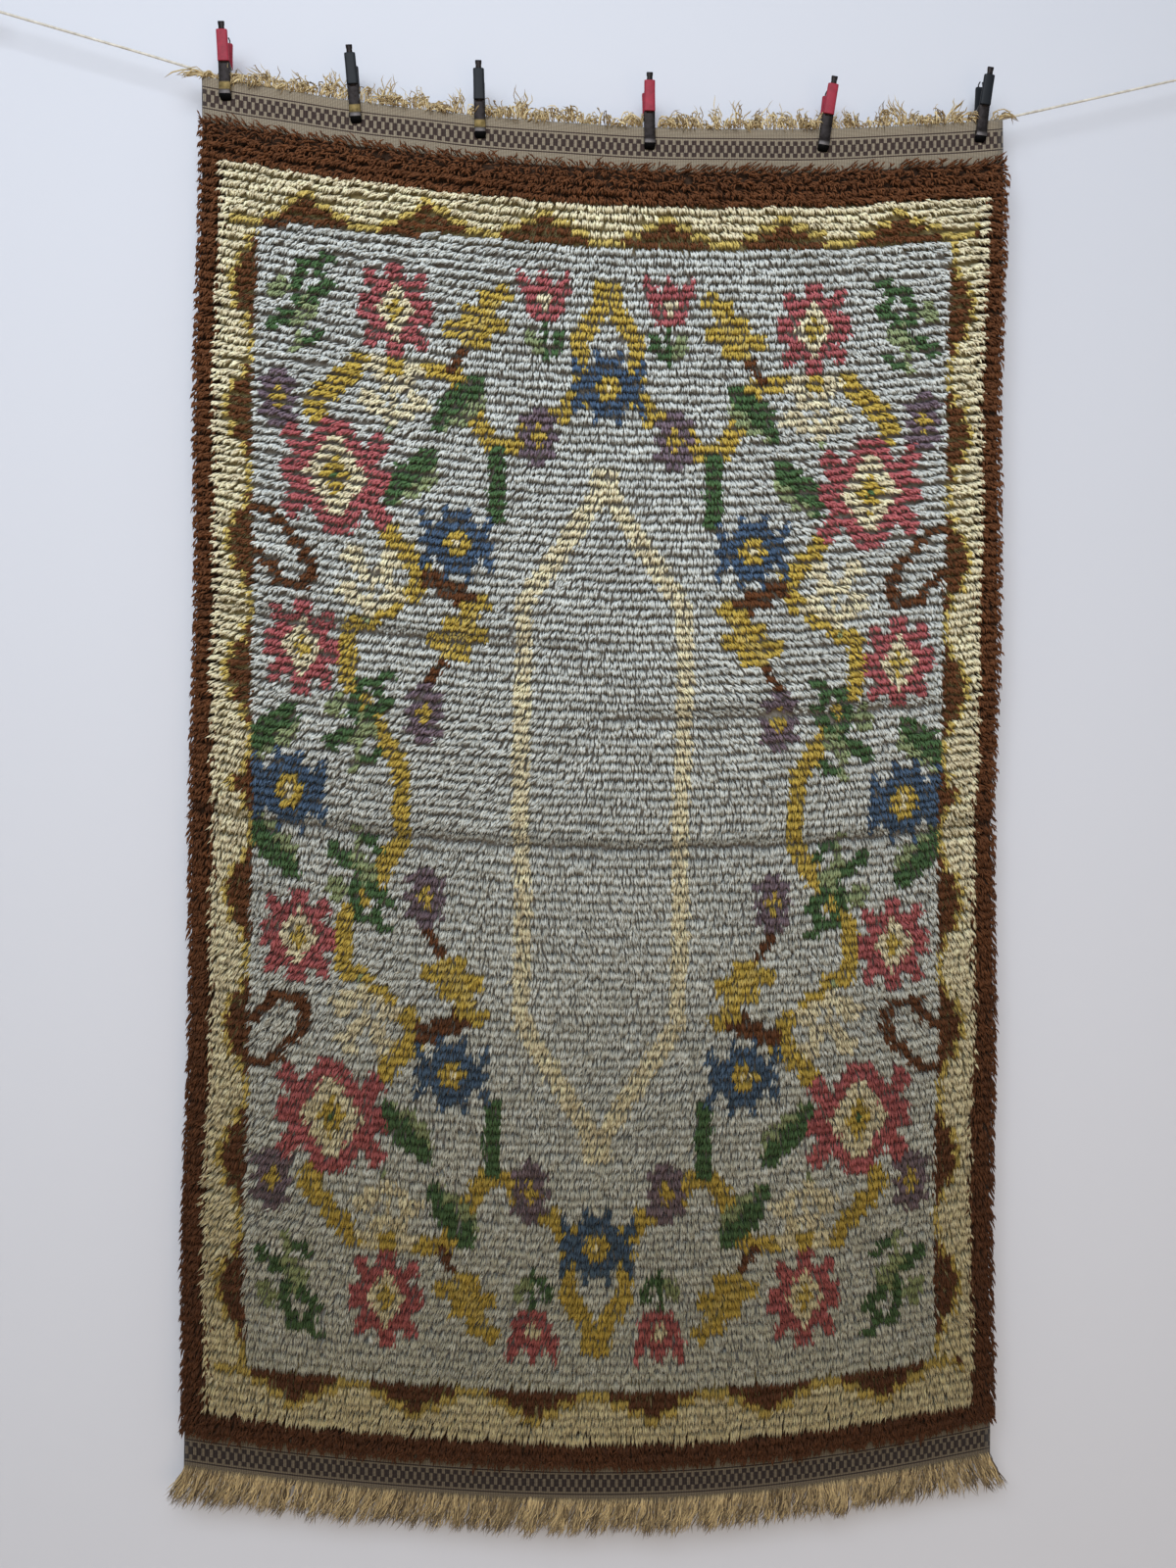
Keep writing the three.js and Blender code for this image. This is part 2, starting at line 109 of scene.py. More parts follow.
# The line's route and end loops: x and z from the middle of the rug's top edge
LINE_RADIUS = 2.0
LINE_DEPTH = 3.8
LOOP_RADIUS = 8.0
LEFT_LOOP = (-892.0, 88.0)
RIGHT_LOOP = (892.0, 76.0)
LINE_ROUTE = (
    (-877.5, 84.4), (-760, 55), (-650, 27.5), (-585, 10), (-548, -1),
    (-500, -6), (-440, -16), (-365, -27), (-310, -31.5), (-250, -36),
    (-187, -40.5), (-120, -42.5), (-50, -44.5), (0, -45.5), (59, -46),
    (130, -43.5), (220, -41), (315, -38), (380, -32), (460, -22),
    (551, -14), (590, -4), (650, 11.8), (760, 41), (877.5, 72.2),
)

# From the rug's own place to the frame, whose origin is the left loop's middle
TO_FRAME = np.array((-LEFT_LOOP[0], -LINE_DEPTH, -LEFT_LOOP[1]))

# The knots: one for each warp pair along 150 rows
KNOT_COLUMNS = 145
KNOT_ROWS = 150
COLUMN_PITCH = RUG_WIDTH / KNOT_COLUMNS
ROW_PITCH = (RUG_LENGTH - 2 * BAND_LENGTH) / KNOT_ROWS

# The camera, measured from the photograph, in millimetres of the frame and degrees
CAMERA_PLACE = (772.0, -1697.8, -1104.0)
CAMERA_YAW, CAMERA_PITCH, CAMERA_ROLL = -3.34, 0.54, 0.64
CAMERA_LENS, CAMERA_SENSOR = 27.0, 36.0

# Yarn letters of the charts
YARNS = {
    ".": "grey",
    "r": "rose",
    "c": "cream",
    "y": "gold",
    "o": "yellow",
    "g": "green",
    "l": "light_green",
    "b": "blue",
    "v": "violet",
    "n": "brown",
}

# Flowers that mirror both ways: the upper left quarter, with the middle row and column last
BIG_ROSE = """
.......rrr
.rr...rrrr
rrrr.rrrcc
.rrrrrrccc
..rrrrcccy
rrrrrcccyy
rrrrcccyyg
"""
ROSE = """
.....rr
.rr..rr
.rrrrrc
..rrrcc
rrrrccy
rrrccyo
"""
STAR = """
....b..
b...bbb
bb.bbbb
.bbbbyy
bbbbyyc
"""
CROSS = """
..vv
vvvv
.vvy
vvyy
"""

# Motifs charted whole
TULIP = """
r...r...r
rr.rrr.rr
rrrrrrrrr
.rrcccrr.
.rrrcrrr.
..rrrrr..
....g....
.ll.g.gg.
.lllg.gg.
..llggg..
....g....
"""
SPRAY = """
..........ggg
......ggggg..
......gg.gg..
..ll.gg...ggg
.llllgg.gggg.
.lll.gglgg...
......glll...
...gggllll...
.gggglll.....
.gg...l..gg..
......lggg...
.....ll......
"""
EAR = """
.........yy..
......yyyyyy.
......yyoo...
...yyyyoo....
...yyyooyyy..
yyyyoooyyyy..
yyyooyyy.....
...oyyyy.....
..nn.........
.nn..........
nn...........
"""
BUDS = """
..ccc...ccc..
.cccc...cccc.
...ccc.ccc...
....cccccc...
.ccc..c..ccc.
ccccc.c.ccccc
..cccccccc...
.....cc......
.....l.......
"""
HOOK = """
nnnnn.......
....nnn.....
......nn....
.......nnn..
.........nn.
nnn......nnn
..nnn.....nn
....nn...nnn
....nnnnnnn.
"""
LEAF = """
......ggg
....ggggg
..ggggggl
.ggggglll
.gggglll.
ggglll...
ggl......
"""

Motif = namedtuple("Motif", "chart column row")
MIRRORED = {"big rose": BIG_ROSE, "rose": ROSE, "star": STAR, "cross": CROSS}
WHOLE = {"tulip": TULIP, "spray": SPRAY, "ear": EAR, "buds": BUDS, "hook": HOOK, "leaf": LEAF}

# One quarter of the field, mirrored both ways: each motif's middle, and the stems between them
FIELD = [Motif(*place) for place in (
    ("spray", 18, 19), ("rose", 35, 18), ("ear", 50, 19), ("tulip", 61, 17), ("star", 72, 25),
    ("leaf", 46, 28), ("cross", 60, 31), ("buds", 35, 28), ("cross", 15, 30), ("big rose", 25, 38),
    ("hook", 16, 47), ("leaf", 38, 37), ("star", 46, 44), ("buds", 31, 50), ("ear", 47, 55),
    ("rose", 19, 58), ("cross", 41, 64), ("spray", 29, 66), ("leaf", 14, 68), ("star", 17, 75),
)]
Stem = namedtuple("Stem", "yarn places")
STEMS = (
    Stem("y", ((72, 13), (66, 19), (66, 26), (52, 33), (44, 24), (28, 24), (20, 30), (34, 44),
               (40, 48), (26, 55), (26, 60), (36, 70), (36, 75))),
    Stem("g", ((52, 33), (52, 40))),
    Stem("n", ((40, 48), (48, 50))),
    Stem("c", ((72, 35), (57, 50), (57, 75))),
)
STEM_KNOTS, STEM_ROWS = 3, 2

# The border in knots: a brown frame, then a cream band with brown hills outlined in yellow
Border = namedtuple("Border", "frame band")
TOP_BORDER = Border(4, 5)
BOTTOM_BORDER = Border(3, 6)
SIDE_BORDER = Border(4, 7)
# The top band is two rows deeper at its left end, and narrows in two steps
DEEPER_TOP_UNTIL = (40, 16)
CREAM_ROWS, CREAM_COLUMNS = 1, 2
END_HILL_PITCH, SIDE_HILL_PITCH = 21, 15
END_HILL = (3, 3, 2, 2, 2, 1, 1, 1)
SIDE_HILL = (4, 4, 3, 3, 1, 1)
FIRST_END_HILL, FIRST_SIDE_HILL = 82, 17


def linear(hex_colour):
    """Turn an sRGB hex colour into the linear colour that Blender mixes."""
    channels = [int(hex_colour[k:k + 2], 16) / 255 for k in (1, 3, 5)]
    return tuple(c / 12.92 if c <= 0.04045 else ((c + 0.055) / 1.055) ** 2.4 for c in channels)


def dye(name, hex_colour, description):
    return FloatVectorProperty(
        name=name, description=description, default=linear(hex_colour), subtype="COLOR", min=0, max=1)


def length(name, metres, description):
    return FloatProperty(
        name=name, description=description, default=metres, subtype="DISTANCE", unit="LENGTH", min=0)


class RyaYarns(bpy.types.PropertyGroup):
    """The wool yarns' colours."""
    grey: dye("Grey", "#d1d7d6", "Ground of the field")
    cream: dye("Cream", "#eee5c6", "Inner border and medallion")
    brown: dye("Brown", "#663f24", "Outer frame and hills")
    rose: dye("Rose", "#b5666b", "Flowers")
    yellow: dye("Yellow", "#cfbb6c", "Outline of the hills")
    gold: dye("Gold", "#c8b054", "Ears and stems")
    green: dye("Green", "#4c6b45", "Leaves")
    light_green: dye("Light green", "#96a57c", "Young leaves")
    blue: dye("Blue", "#4d6583", "Stars")
    violet: dye("Violet", "#7b6c79", "Small flowers")


class RyaSizes(bpy.types.PropertyGroup):
    """Sizes of the yarn, the fringes and the line."""
    ends_per_knot: IntProperty(
        name="Ends per knot", description="Cut yarn ends that stand for one knot", default=6, min=2, max=8)
    yarn_width: length("Upper yarn width", 0.0029, "Width of one cut end in the upper half")
    lower_yarn_width: length("Lower yarn width", 0.0029, "Width of one cut end in the lower half")
    hair_width: length("Frame hair width", 0.0027, "Width of one hair of the brown frame")
    short_pile: length("Upper pile", 0.0215, "How far a cut end falls below its knot in the upper half")
    long_pile: length("Lower pile", 0.0240, "How far a cut end falls below its knot in the lower half")
    fringe_drop: length("Bottom fringe", 0.051, "Length of the warp ends at the bottom")
    fringe_rise: length("Top fringe", 0.024, "Height of the curled warp ends at the top")
    line_width: length("Line width", 2 * LINE_RADIUS * MM, "Thickness of the line")


class RyaRoom(bpy.types.PropertyGroup):
    """Wall, floor and lamps around the rug."""
    wall_gap: length("Wall gap", 0.045, "Distance from the cloth to the wall behind it")
    floor_gap: length("Floor gap", 0.10, "Distance from the fringe to the floor")
    key_power: FloatProperty(
        name="Key lamp", description="Power of the soft lamp above the rug", default=114, unit="POWER")
    fill_power: FloatProperty(
        name="Fill lamp", description="Power of the weak lamp low in front", default=19, unit="POWER")
    back_power: FloatProperty(
        name="Back lamp", description="Power of the lamp behind the rug", default=30, unit="POWER")


# The hang of the cloth

def between_clips(across):
    """0 at each clip and 1 half way to the next."""
    share = np.zeros_like(across)
    for left, right in zip(CLIPS, CLIPS[1:]):
        start = left.x + CLIP_FLAT
        end = right.x - CLIP_FLAT
        inside = (across > start) & (across < end)
        share = np.where(inside, np.sin(np.pi * (across - start) / (end - start)) ** 2, share)
    return share


def smoothstep(value, start, end):
    share = np.clip((value - start) / (end - start), 0, 1)
    return share * share * (3 - 2 * share)


def sag(across, down):
    """How far a point hangs below its place in a flat rug."""
    side = 2 * across / RUG_WIDTH
    deep = TOP_SAG + (BOTTOM_SAG - TOP_SAG) * down / RUG_LENGTH
    at_edge = EDGE_SAG * between_clips(across) * np.exp(-np.maximum(down, 0) / EDGE_SAG_FADE)
    return deep * (1 - side * side) + RIGHT_DROP * (side + 1) / 2 + at_edge


def fold(across, down):
    """How far the cloth's middle stands forward of a flat hang."""
    slack = smoothstep(down, SLACK_FROM, SLACK_FULL)
    out = EDGE_BULGE * between_clips(across) * np.exp(-np.maximum(down, 0) / EDGE_BULGE_FADE)
    out = out + slack * ROLL_ACROSS * down / RUG_LENGTH * np.sin(across / ROLL_ACROSS_SPACING + 0.6)
    out = out + slack * ROLL_DOWN * np.sin(down / ROLL_DOWN_SPACING)
    for crease in CREASES:
        along = np.exp(-((across - crease.across) / crease.reach) ** 4)
        out = out + crease.out * along * np.exp(-np.abs(down - crease.down * RUG_LENGTH) / crease.width)
    return out


def hang(across, down, out):
    """The place in the frame, in metres, of a point of the flat rug."""
    across, down, out = np.broadcast_arrays(*(np.asarray(a, dtype=float) for a in (across, down, out)))
    side = 2 * across / RUG_WIDTH
    wave = SIDE_WAVE * np.sin(down / SIDE_WAVE_SPACING) * side ** 4
    inward = np.where(side < 0, DRAWN_IN_LEFT, DRAWN_IN_RIGHT)
    drawn = inward * smoothstep(down, 0, DRAWN_IN_FULL) * side ** 3
    place = np.stack((across + wave - drawn, -fold(across, down) - out, -down - sag(across, down)), axis=-1)
    return (place + TO_FRAME) * MM


# Meshes from arrays

def mesh_piece(name, points, faces, material, replaced, notes=None):
    """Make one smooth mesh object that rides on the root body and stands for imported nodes."""
    mesh = bpy.data.meshes.new(name)
    mesh.vertices.add(len(points))
    mesh.vertices.foreach_set("co", np.ascontiguousarray(points, dtype=np.float32).ravel())
    mesh.loops.add(faces.size)
    mesh.loops.foreach_set("vertex_index", np.ascontiguousarray(faces, dtype=np.int32).ravel())
    mesh.polygons.add(len(faces))
    mesh.polygons.foreach_set("loop_start", np.arange(0, faces.size, faces.shape[1], dtype=np.int32))
    mesh.update(calc_edges=True)
    for note, values in (notes or {}).items():
        kind, field = ("FLOAT", "value") if values.ndim == 1 else ("FLOAT_VECTOR", "vector")
        made = mesh.attributes.new(note, kind, "POINT")
        made.data.foreach_set(field, np.ascontiguousarray(values, dtype=np.float32).ravel())
    mesh.materials.append(material)
    mesh.shade_smooth()
    piece = bpy.data.objects.new(name, mesh)
    bpy.context.scene.collection.objects.link(piece)
    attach(piece, "root")
    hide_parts(*replaced)
    return piece


def unit(vectors):
    return vectors / np.maximum(np.linalg.norm(vectors, axis=-1, keepdims=True), 1e-12)


def circle(turns, first, second):
    """The points at some angles round a unit circle, in the plane of two directions."""
    return np.cos(turns)[:, None] * first + np.sin(turns)[:, None] * second


def run_along(path):
    """How far each point of a path is along it."""
    return np.concatenate(([0.0], np.cumsum(np.linalg.norm(np.diff(path, axis=0), axis=1))))


STRAND_SIDES = 3


def pointed_strands(paths, radii, random):
    """Closed strands, pointed at both ends: points and faces from paths (strand, step, xyz)."""
    count, steps, _ = paths.shape
    sides = STRAND_SIDES
    middle = unit(paths[:, -1] - paths[:, 0])
    turned = unit(np.cross(middle, random.normal(size=(count, 3))))
    along = unit(paths[:, 2:] - paths[:, :-2])
    first = unit(np.cross(along, turned[:, None]))
    second = np.cross(along, first)
    turns = 2 * np.pi * np.arange(sides) / sides
    around = circle(turns, first[:, :, None], second[:, :, None])
    rings = (paths[:, 1:-1, None] + around * radii[..., None, None]).reshape(count, -1, 3)
    points = np.concatenate((paths[:, :1], rings, paths[:, -1:]), axis=1)
    tip = points.shape[1] - 1
    faces = []
    for side in range(sides):
        after = (side + 1) % sides
        faces.append((0, 1 + after, 1 + side))
        for ring in range(steps - 3):
            here = 1 + ring * sides
            there = here + sides
            faces.append((here + side, here + after, there + side))
            faces.append((here + after, there + after, there + side))
        last = 1 + (steps - 3) * sides
        faces.append((last + side, last + after, tip))
    starts = np.arange(count)[:, None, None] * (tip + 1)
    return points.reshape(-1, 3), (np.array(faces)[None] + starts).reshape(-1, 3)


def per_point(values, paths):
    """Repeat a value of each strand for each of its points."""
    return np.repeat(values, (paths.shape[1] - 2) * STRAND_SIDES + 2)


def tip_share(paths):
    """0 at a strand's root and 1 at its tip, for each of its points."""
    count, steps, _ = paths.shape
    rings = np.repeat(np.arange(1, steps - 1) / (steps - 1), STRAND_SIDES)
    return np.tile(np.concatenate(([0.0], rings, [1.0])), count)


def tube(path, radius, sides, twist=0.0, lobes=0, lobe_depth=0.0):
    """A closed tube along a path in metres; lobes are the strands of a twisted cord."""
    count = len(path)
    along = unit(np.gradient(path, axis=0))
    first = unit(np.cross(along, (0.0, -1.0, 0.0)))
    second = np.cross(along, first)
    turns = 2 * np.pi * np.arange(sides) / sides
    bulge = 1.0
    if lobes:
        phase = turns[None] - 2 * np.pi * run_along(path)[:, None] / twist
        bulge = 1 - lobe_depth * (0.5 - 0.5 * np.cos(lobes * phase))
    reach = radius * bulge * np.ones((count, sides))
    around = circle(turns, first[:, None], second[:, None])
    points = (path[:, None] + around * reach[..., None]).reshape(-1, 3)
    return points, tube_faces(count, sides)


def tube_faces(count, sides):
    """Triangles of a closed tube of rings, with flat ends."""
    side = np.arange(sides)
    after = (side + 1) % sides
    ring = np.arange(count - 1)[:, None] * sides
    walls = np.stack((
        np.stack((ring + side, ring + after, ring + sides + side), axis=-1),
        np.stack((ring + after, ring + sides + after, ring + sides + side), axis=-1),
    )).reshape(-1, 3)
    start = [(0, k + 1, k) for k in range(1, sides - 1)]
    end = [((count - 1) * sides, (count - 1) * sides + k, (count - 1) * sides + k + 1)
           for k in range(1, sides - 1)]
    return np.concatenate((walls, np.array(start), np.array(end)))


def joined(parts):
    """Join several (points, faces) pairs into one."""
    points = []
    faces = []
    start = 0
    for part_points, part_faces in parts:
        points.append(part_points)
        faces.append(part_faces + start)
        start += len(part_points)
    return np.concatenate(points), np.concatenate(faces)


def smooth_route(points, steps):
    """A smooth curve through the points, evenly divided: a cubic with chord-length tangents."""
    points = np.array(points, dtype=float)
    chord = run_along(points)
    slopes = np.gradient(points, chord, axis=0)
    at = np.linspace(0, chord[-1], steps)
    piece = np.clip(np.searchsorted(chord, at, side="right") - 1, 0, len(points) - 2)
    span = (chord[piece + 1] - chord[piece])[:, None]
    t = ((at - chord[piece]) / span[:, 0])[:, None]
    start, end = points[piece], points[piece + 1]
    return ((2 * t ** 3 - 3 * t ** 2 + 1) * start + (t ** 3 - 2 * t ** 2 + t) * span * slopes[piece]
            + (3 * t ** 2 - 2 * t ** 3) * end + (t ** 3 - t ** 2) * span * slopes[piece + 1])


# Materials

def add_node(material, kind, inputs=None, stops=(), **settings):
    """Add a node, with its settings, its inputs' values or links, and a ramp's stops."""
    tree = material.node_tree
    node = tree.nodes.new(kind)
    for name, value in settings.items():
        setattr(node, name, value)
    for socket, value in (inputs or {}).items():
        if isinstance(value, bpy.types.NodeSocket):
            tree.links.new(value, node.inputs[socket])
        else:
            node.inputs[socket].default_value = value
    for k, (place, colour) in enumerate(stops):
        elements = node.color_ramp.elements
        stop = elements[k] if k < 2 else elements.new(place)
        stop.position = place
        stop.color = (*colour, 1)
    return node


def new_material(name):
    material = bpy.data.materials.new(name)
    material.use_nodes = True
    material.node_tree.nodes.clear()
    return material


def surfaced(material, inputs, opened=False):
    """Give a material its surface; an opened one lets views through from its back."""
    shader = add_node(material, "ShaderNodeBsdfPrincipled", inputs=inputs).outputs["BSDF"]
    if opened:
        backfacing = add_node(material, "ShaderNodeNewGeometry").outputs["Backfacing"]
        clear = add_node(material, "ShaderNodeBsdfTransparent").outputs["BSDF"]
        shader = add_node(material, "ShaderNodeMixShader", inputs={
            0: backfacing, 1: shader, 2: clear}).outputs["Shader"]
    add_node(material, "ShaderNodeOutputMaterial", inputs={"Surface": shader})
    return material


def noted(material, name, output="Fac"):
    """What each point of the piece carries under a name."""
    return add_node(material, "ShaderNodeAttribute", attribute_name=name).outputs[output]


def clouds(material, size, detail, roughness=0.5):
    """Cloudy noise of a size in millimetres, in the piece's own coordinates."""
    place = add_node(material, "ShaderNodeTexCoord")
    return add_node(material, "ShaderNodeTexNoise", inputs={
        "Vector": place.outputs["Object"], "Scale": 1 / (size * MM), "Detail": detail,
        "Roughness": roughness}).outputs["Fac"]


def spread(material, cloudy, low, high):
    """A noise's middle range, from low to high."""
    return add_node(material, "ShaderNodeMapRange", inputs={
        "Value": cloudy, "From Min": 0.3, "From Max": 0.7, "To Min": low, "To Max": high}).outputs["Result"]


def ramp(material, value, *stops):
    """A colour ramp, whose stops are linear colours or sRGB hex colours."""
    stops = [(place, linear(colour) if isinstance(colour, str) else colour) for place, colour in stops]
    return add_node(material, "ShaderNodeValToRGB", inputs={"Fac": value}, stops=stops).outputs["Color"]


def mixed(material, share, first, second, blend="MIX"):
    return add_node(material, "ShaderNodeMix", data_type="RGBA", blend_type=blend, inputs={
        0: share, 6: first, 7: second}).outputs[2]


def maths(material, operation, first, second):
    return add_node(material, "ShaderNodeMath", operation=operation, inputs={0: first, 1: second}).outputs[0]


def bump(material, height, strength, depth):
    """Relief of a depth in millimetres."""
    return add_node(material, "ShaderNodeBump", inputs={
        "Strength": strength, "Distance": depth * MM, "Height": height}).outputs["Normal"]


def toned(colour, factor, warmth=0.0):
    """A lighter or darker tone of a colour, warmer when warmth is above 0."""
    return tuple(min(c * factor * w, 1.0) for c, w in zip(colour, (1 + warmth, 1.0, 1 - warmth)))


# Colours that painted shade and soil multiply in: the wool's towards the bottom, at the roots and on the
# partings, the cloth's towards the bottom
WOOL_SHADE_AND_SOIL = (0.38, 0.33, 0.23, 1)
WEAVE_SHADE_AND_SOIL = (0.42, 0.40, 0.37, 1)


def wool_yarn(name, colour):
    """Woollen-spun pile yarn, piece-dyed and cut: dull and downy, each end a little off the next."""
    wool = new_material(f"wool_yarn_{name}")
    tones = ramp(wool, noted(wool, "shade"), (0.0, toned(colour, 0.58, 0.04)),
                 (1.0, toned(colour, 1.24, 0.02)), (0.5, toned(colour, 0.98)))
    # Painted shade deepens the colour towards the root, where the tips' fading adds to it, and on the
    # partings; in the lower part of the rug painted shade and some soil deepen it
    shaded_and_soiled = mixed(wool, noted(wool, "soil"), tones, WOOL_SHADE_AND_SOIL, "MULTIPLY")
    # Fibres of 0.3 mm are too fine to show, so the down is drawn at 1.2 mm
    downy = clouds(wool, 1.2, 2, 0.6)
    return surfaced(wool, {
        "Base Color": mixed(wool, 1.0, shaded_and_soiled, spread(wool, downy, 0.86, 1.12), "MULTIPLY"),
        "Normal": bump(wool, downy, 0.5, 0.4),
        "Roughness": 0.86,
        "Specular IOR Level": 0.28,
        "Sheen Weight": 0.3,
        "Sheen Roughness": 0.5,
        "Sheen Tint": (*toned(colour, 1.4, 0.02), 1),
    })


# Across the end band from its outer edge: where each woven stripe starts, in millimetres
CHECK_WIDTH = 5.75
CHECK_LIGHT_SHARE = 0.38
DARK_LINES = ((14.0, 15.7), (44.3, 46.0))
CHECK_FROM, CHECK_SHIFTED_FROM, CHECK_SHIFTED_TO, CHECK_TO = 18.2, 24.7, 35.7, 42.2
# How far apart the threads are, in millimetres: drawn a little coarser than the cloth's
WARP_PITCH, WEFT_PITCH = 2.3, 1.9
# The scale at which a wave texture's bands are 1 mm apart
WAVE_PERIOD = math.pi / 10


def plain_weave():
    """Wool weft beaten over a linen warp, undyed, with chequered stripes woven in near each end."""
    weave = new_material("plain_woven_wool_and_linen")
    cloth = noted(weave, "cloth", "Vector")
    uneven = add_node(weave, "ShaderNodeTexNoise", inputs={"Vector": cloth, "Scale": 0.35, "Detail": 2})
    stray = add_node(weave, "ShaderNodeVectorMath", operation="MULTIPLY_ADD", inputs={
        0: uneven.outputs["Color"], 1: (0.8, 0.8, 0), 2: cloth})
    across, from_end, is_front = add_node(weave, "ShaderNodeSeparateXYZ", inputs={
        "Vector": stray.outputs["Vector"]}).outputs

    def both(first, second, operation="MULTIPLY"):
        return maths(weave, operation, first, second)

    def past(start, value=from_end):
        return both(value, start, "GREATER_THAN")

    def within(start, end):
        return both(past(start), past(end), "SUBTRACT")

    shifted = both(within(CHECK_SHIFTED_FROM, CHECK_SHIFTED_TO), 0.5)
    repeat = both(both(shifted, both(across, 0.5 / CHECK_WIDTH), "ADD"), 0.0, "FRACT")
    dark = both(past(CHECK_LIGHT_SHARE, repeat), within(CHECK_FROM, CHECK_TO))
    for start, end in DARK_LINES:
        dark = both(dark, within(start, end), "MAXIMUM")
    warp, weft = (add_node(weave, "ShaderNodeTexWave", wave_type="BANDS", bands_direction=direction, inputs={
        "Vector": cloth, "Scale": WAVE_PERIOD / pitch, "Distortion": 1.2, "Detail": 1,
        "Detail Scale": 0.4}).outputs["Fac"] for direction, pitch in (("X", WARP_PITCH), ("Y", WEFT_PITCH)))
    relief = both(warp, weft)
    ground = ramp(weave, relief, (0.0, "#6a5f50"), (1.0, "#b5a995"), (0.45, "#8d8270"))
    stripe = ramp(weave, relief, (0.0, "#261d1b"), (1.0, "#55453f"))
    banded_cloth = mixed(weave, dark, ground, stripe)
    # Darker towards the bottom of the rug: painted shade, with some soil
    shaded_and_soiled = mixed(weave, noted(weave, "soil"), banded_cloth, WEAVE_SHADE_AND_SOIL, "MULTIPLY")
    # Below the pile the cloth is full of fluff of the yarn above it: brown, then tan, then grey
    inward_rows = both(both(from_end, BAND_LENGTH, "SUBTRACT"), 1 / ROW_PITCH)
    from_side = both(RUG_WIDTH / 2, both(across, 0.0, "ABSOLUTE"), "SUBTRACT")
    inward = both(inward_rows, both(from_side, 1 / COLUMN_PITCH), "MINIMUM")
    fluff = ramp(weave, both(inward, 0.05), (0.0, "#38271b"), (0.52, "#827e77"), (0.20, "#38271b"),
                 (0.23, "#92865f"), (0.46, "#92865f"))
    below_pile = both(past(0.5, is_front), past(BAND_LENGTH + 2))
    return surfaced(weave, {
        "Base Color": mixed(weave, below_pile, shaded_and_soiled, fluff), "Normal": bump(weave, relief, 0.7, 0.5),
        "Roughness": 0.92, "Specular IOR Level": 0.2, "Sheen Weight": 0.15, "Sheen Roughness": 0.5})


def linen_warp(name, dark_hex, light_hex):
    """Singles of retted linen, unbleached: straw-coloured, smooth enough to gleam along its length."""
    linen = new_material(name)
    deepest = toned(linear(dark_hex), 0.5, 0.03)
    tones = ramp(linen, noted(linen, "shade"), (0.0, deepest), (1.0, light_hex), (0.12, dark_hex))
    # Slubs along the yarn, about 5 mm long
    slubs = spread(linen, clouds(linen, 5, 2), 0.84, 1.1)
    return surfaced(linen, {
        "Base Color": mixed(linen, 1.0, tones, slubs, "MULTIPLY"), "Roughness": 0.62,
        "Specular IOR Level": 0.35, "Sheen Weight": 0.12, "Sheen Roughness": 0.4})


def cotton_cord():
    """Laid cotton cord, bleached and a little grimy: chalky, with threads of 0.6 mm along its strands."""
    cotton = new_material("laid_cotton_cord")
    return surfaced(cotton, {
        "Base Color": ramp(cotton, clouds(cotton, 9, 4), (0.3, "#b3ac9e"), (0.7, "#ddd8cc")),
        "Normal": bump(cotton, clouds(cotton, 0.6, 1), 0.4, 0.2),
        "Roughness": 0.8, "Specular IOR Level": 0.3, "Sheen Weight": 0.1})


NO_SHARE, FULL_SHARE = (0, 0, 0), (1, 1, 1)


def plated_steel():
    """Pressed spring steel, blacked and long handled: charcoal, with a grey band, a painted brass highlight
    and a painted shade at the jaw.
    """
    steel = new_material("pressed_blackened_steel")
    reach = noted(steel, "up")
    patches = clouds(steel, 6, 4, 0.65)
    tarnish = ramp(steel, patches, (0.3, "#221e1c"), (0.75, "#454040"))
    painted_highlight = ramp(steel, patches, (0.3, "#6b5c38"), (0.7, "#a08a5c"))
    # A painted highlight in brass from 14 to 26 mm above the jaw's tip, where the jaw faces up into the
    # light, on the clips that carry it; a grey band below that
    recoloured = ramp(steel, reach, (0.13, NO_SHARE), (0.27, NO_SHARE), (0.16, FULL_SHARE), (0.25, (0.9, 0.9, 0.9)))
    plating_and_highlight = mixed(steel, maths(steel, "MULTIPLY", recoloured, noted(steel, "brassy")), tarnish, painted_highlight)
    grey_band = ramp(steel, reach, (0.10, FULL_SHARE), (0.15, NO_SHARE))
    with_grey_band = mixed(steel, grey_band, plating_and_highlight, (*linear("#6b6665"), 1))
    # Painted shade: the jaw's nose, which bends down away from the light, is painted near-black up to 9 mm
    shaded_nose = mixed(steel, maths(steel, "LESS_THAN", reach, 0.09), with_grey_band, (*linear("#141415"), 1))
    return surfaced(steel, {
        "Base Color": shaded_nose, "Metallic": 1.0, "Roughness": spread(steel, patches, 0.5, 0.7),
        "Normal": bump(steel, patches, 0.15, 0.2)})


def spring_wire():
    """Drawn and hardened steel wire: grey, with a satin gleam."""
    wire = new_material("drawn_spring_wire")
    tones = ramp(wire, clouds(wire, 3, 3), (0.3, "#4b4643"), (0.7, "#a19b95"))
    return surfaced(wire, {"Base Color": tones, "Metallic": 1.0, "Roughness": 0.35})


def dipped_vinyl(name, hex_colour):
    """Soft vinyl slipped over the handle while hot: even colour, a dull gloss, faint dimples."""
    vinyl = new_material(f"soft_vinyl_{name}")
    colour = linear(hex_colour)
    return surfaced(vinyl, {
        "Base Color": ramp(vinyl, clouds(vinyl, 8, 5, 0.6), (0.3, toned(colour, 0.8)),
                           (0.72, toned(colour, 1.25))),
        "Normal": bump(vinyl, clouds(vinyl, 1.5, 2), 0.12, 0.2),
        "Roughness": 0.55, "IOR": 1.53, "Specular IOR Level": 0.22})


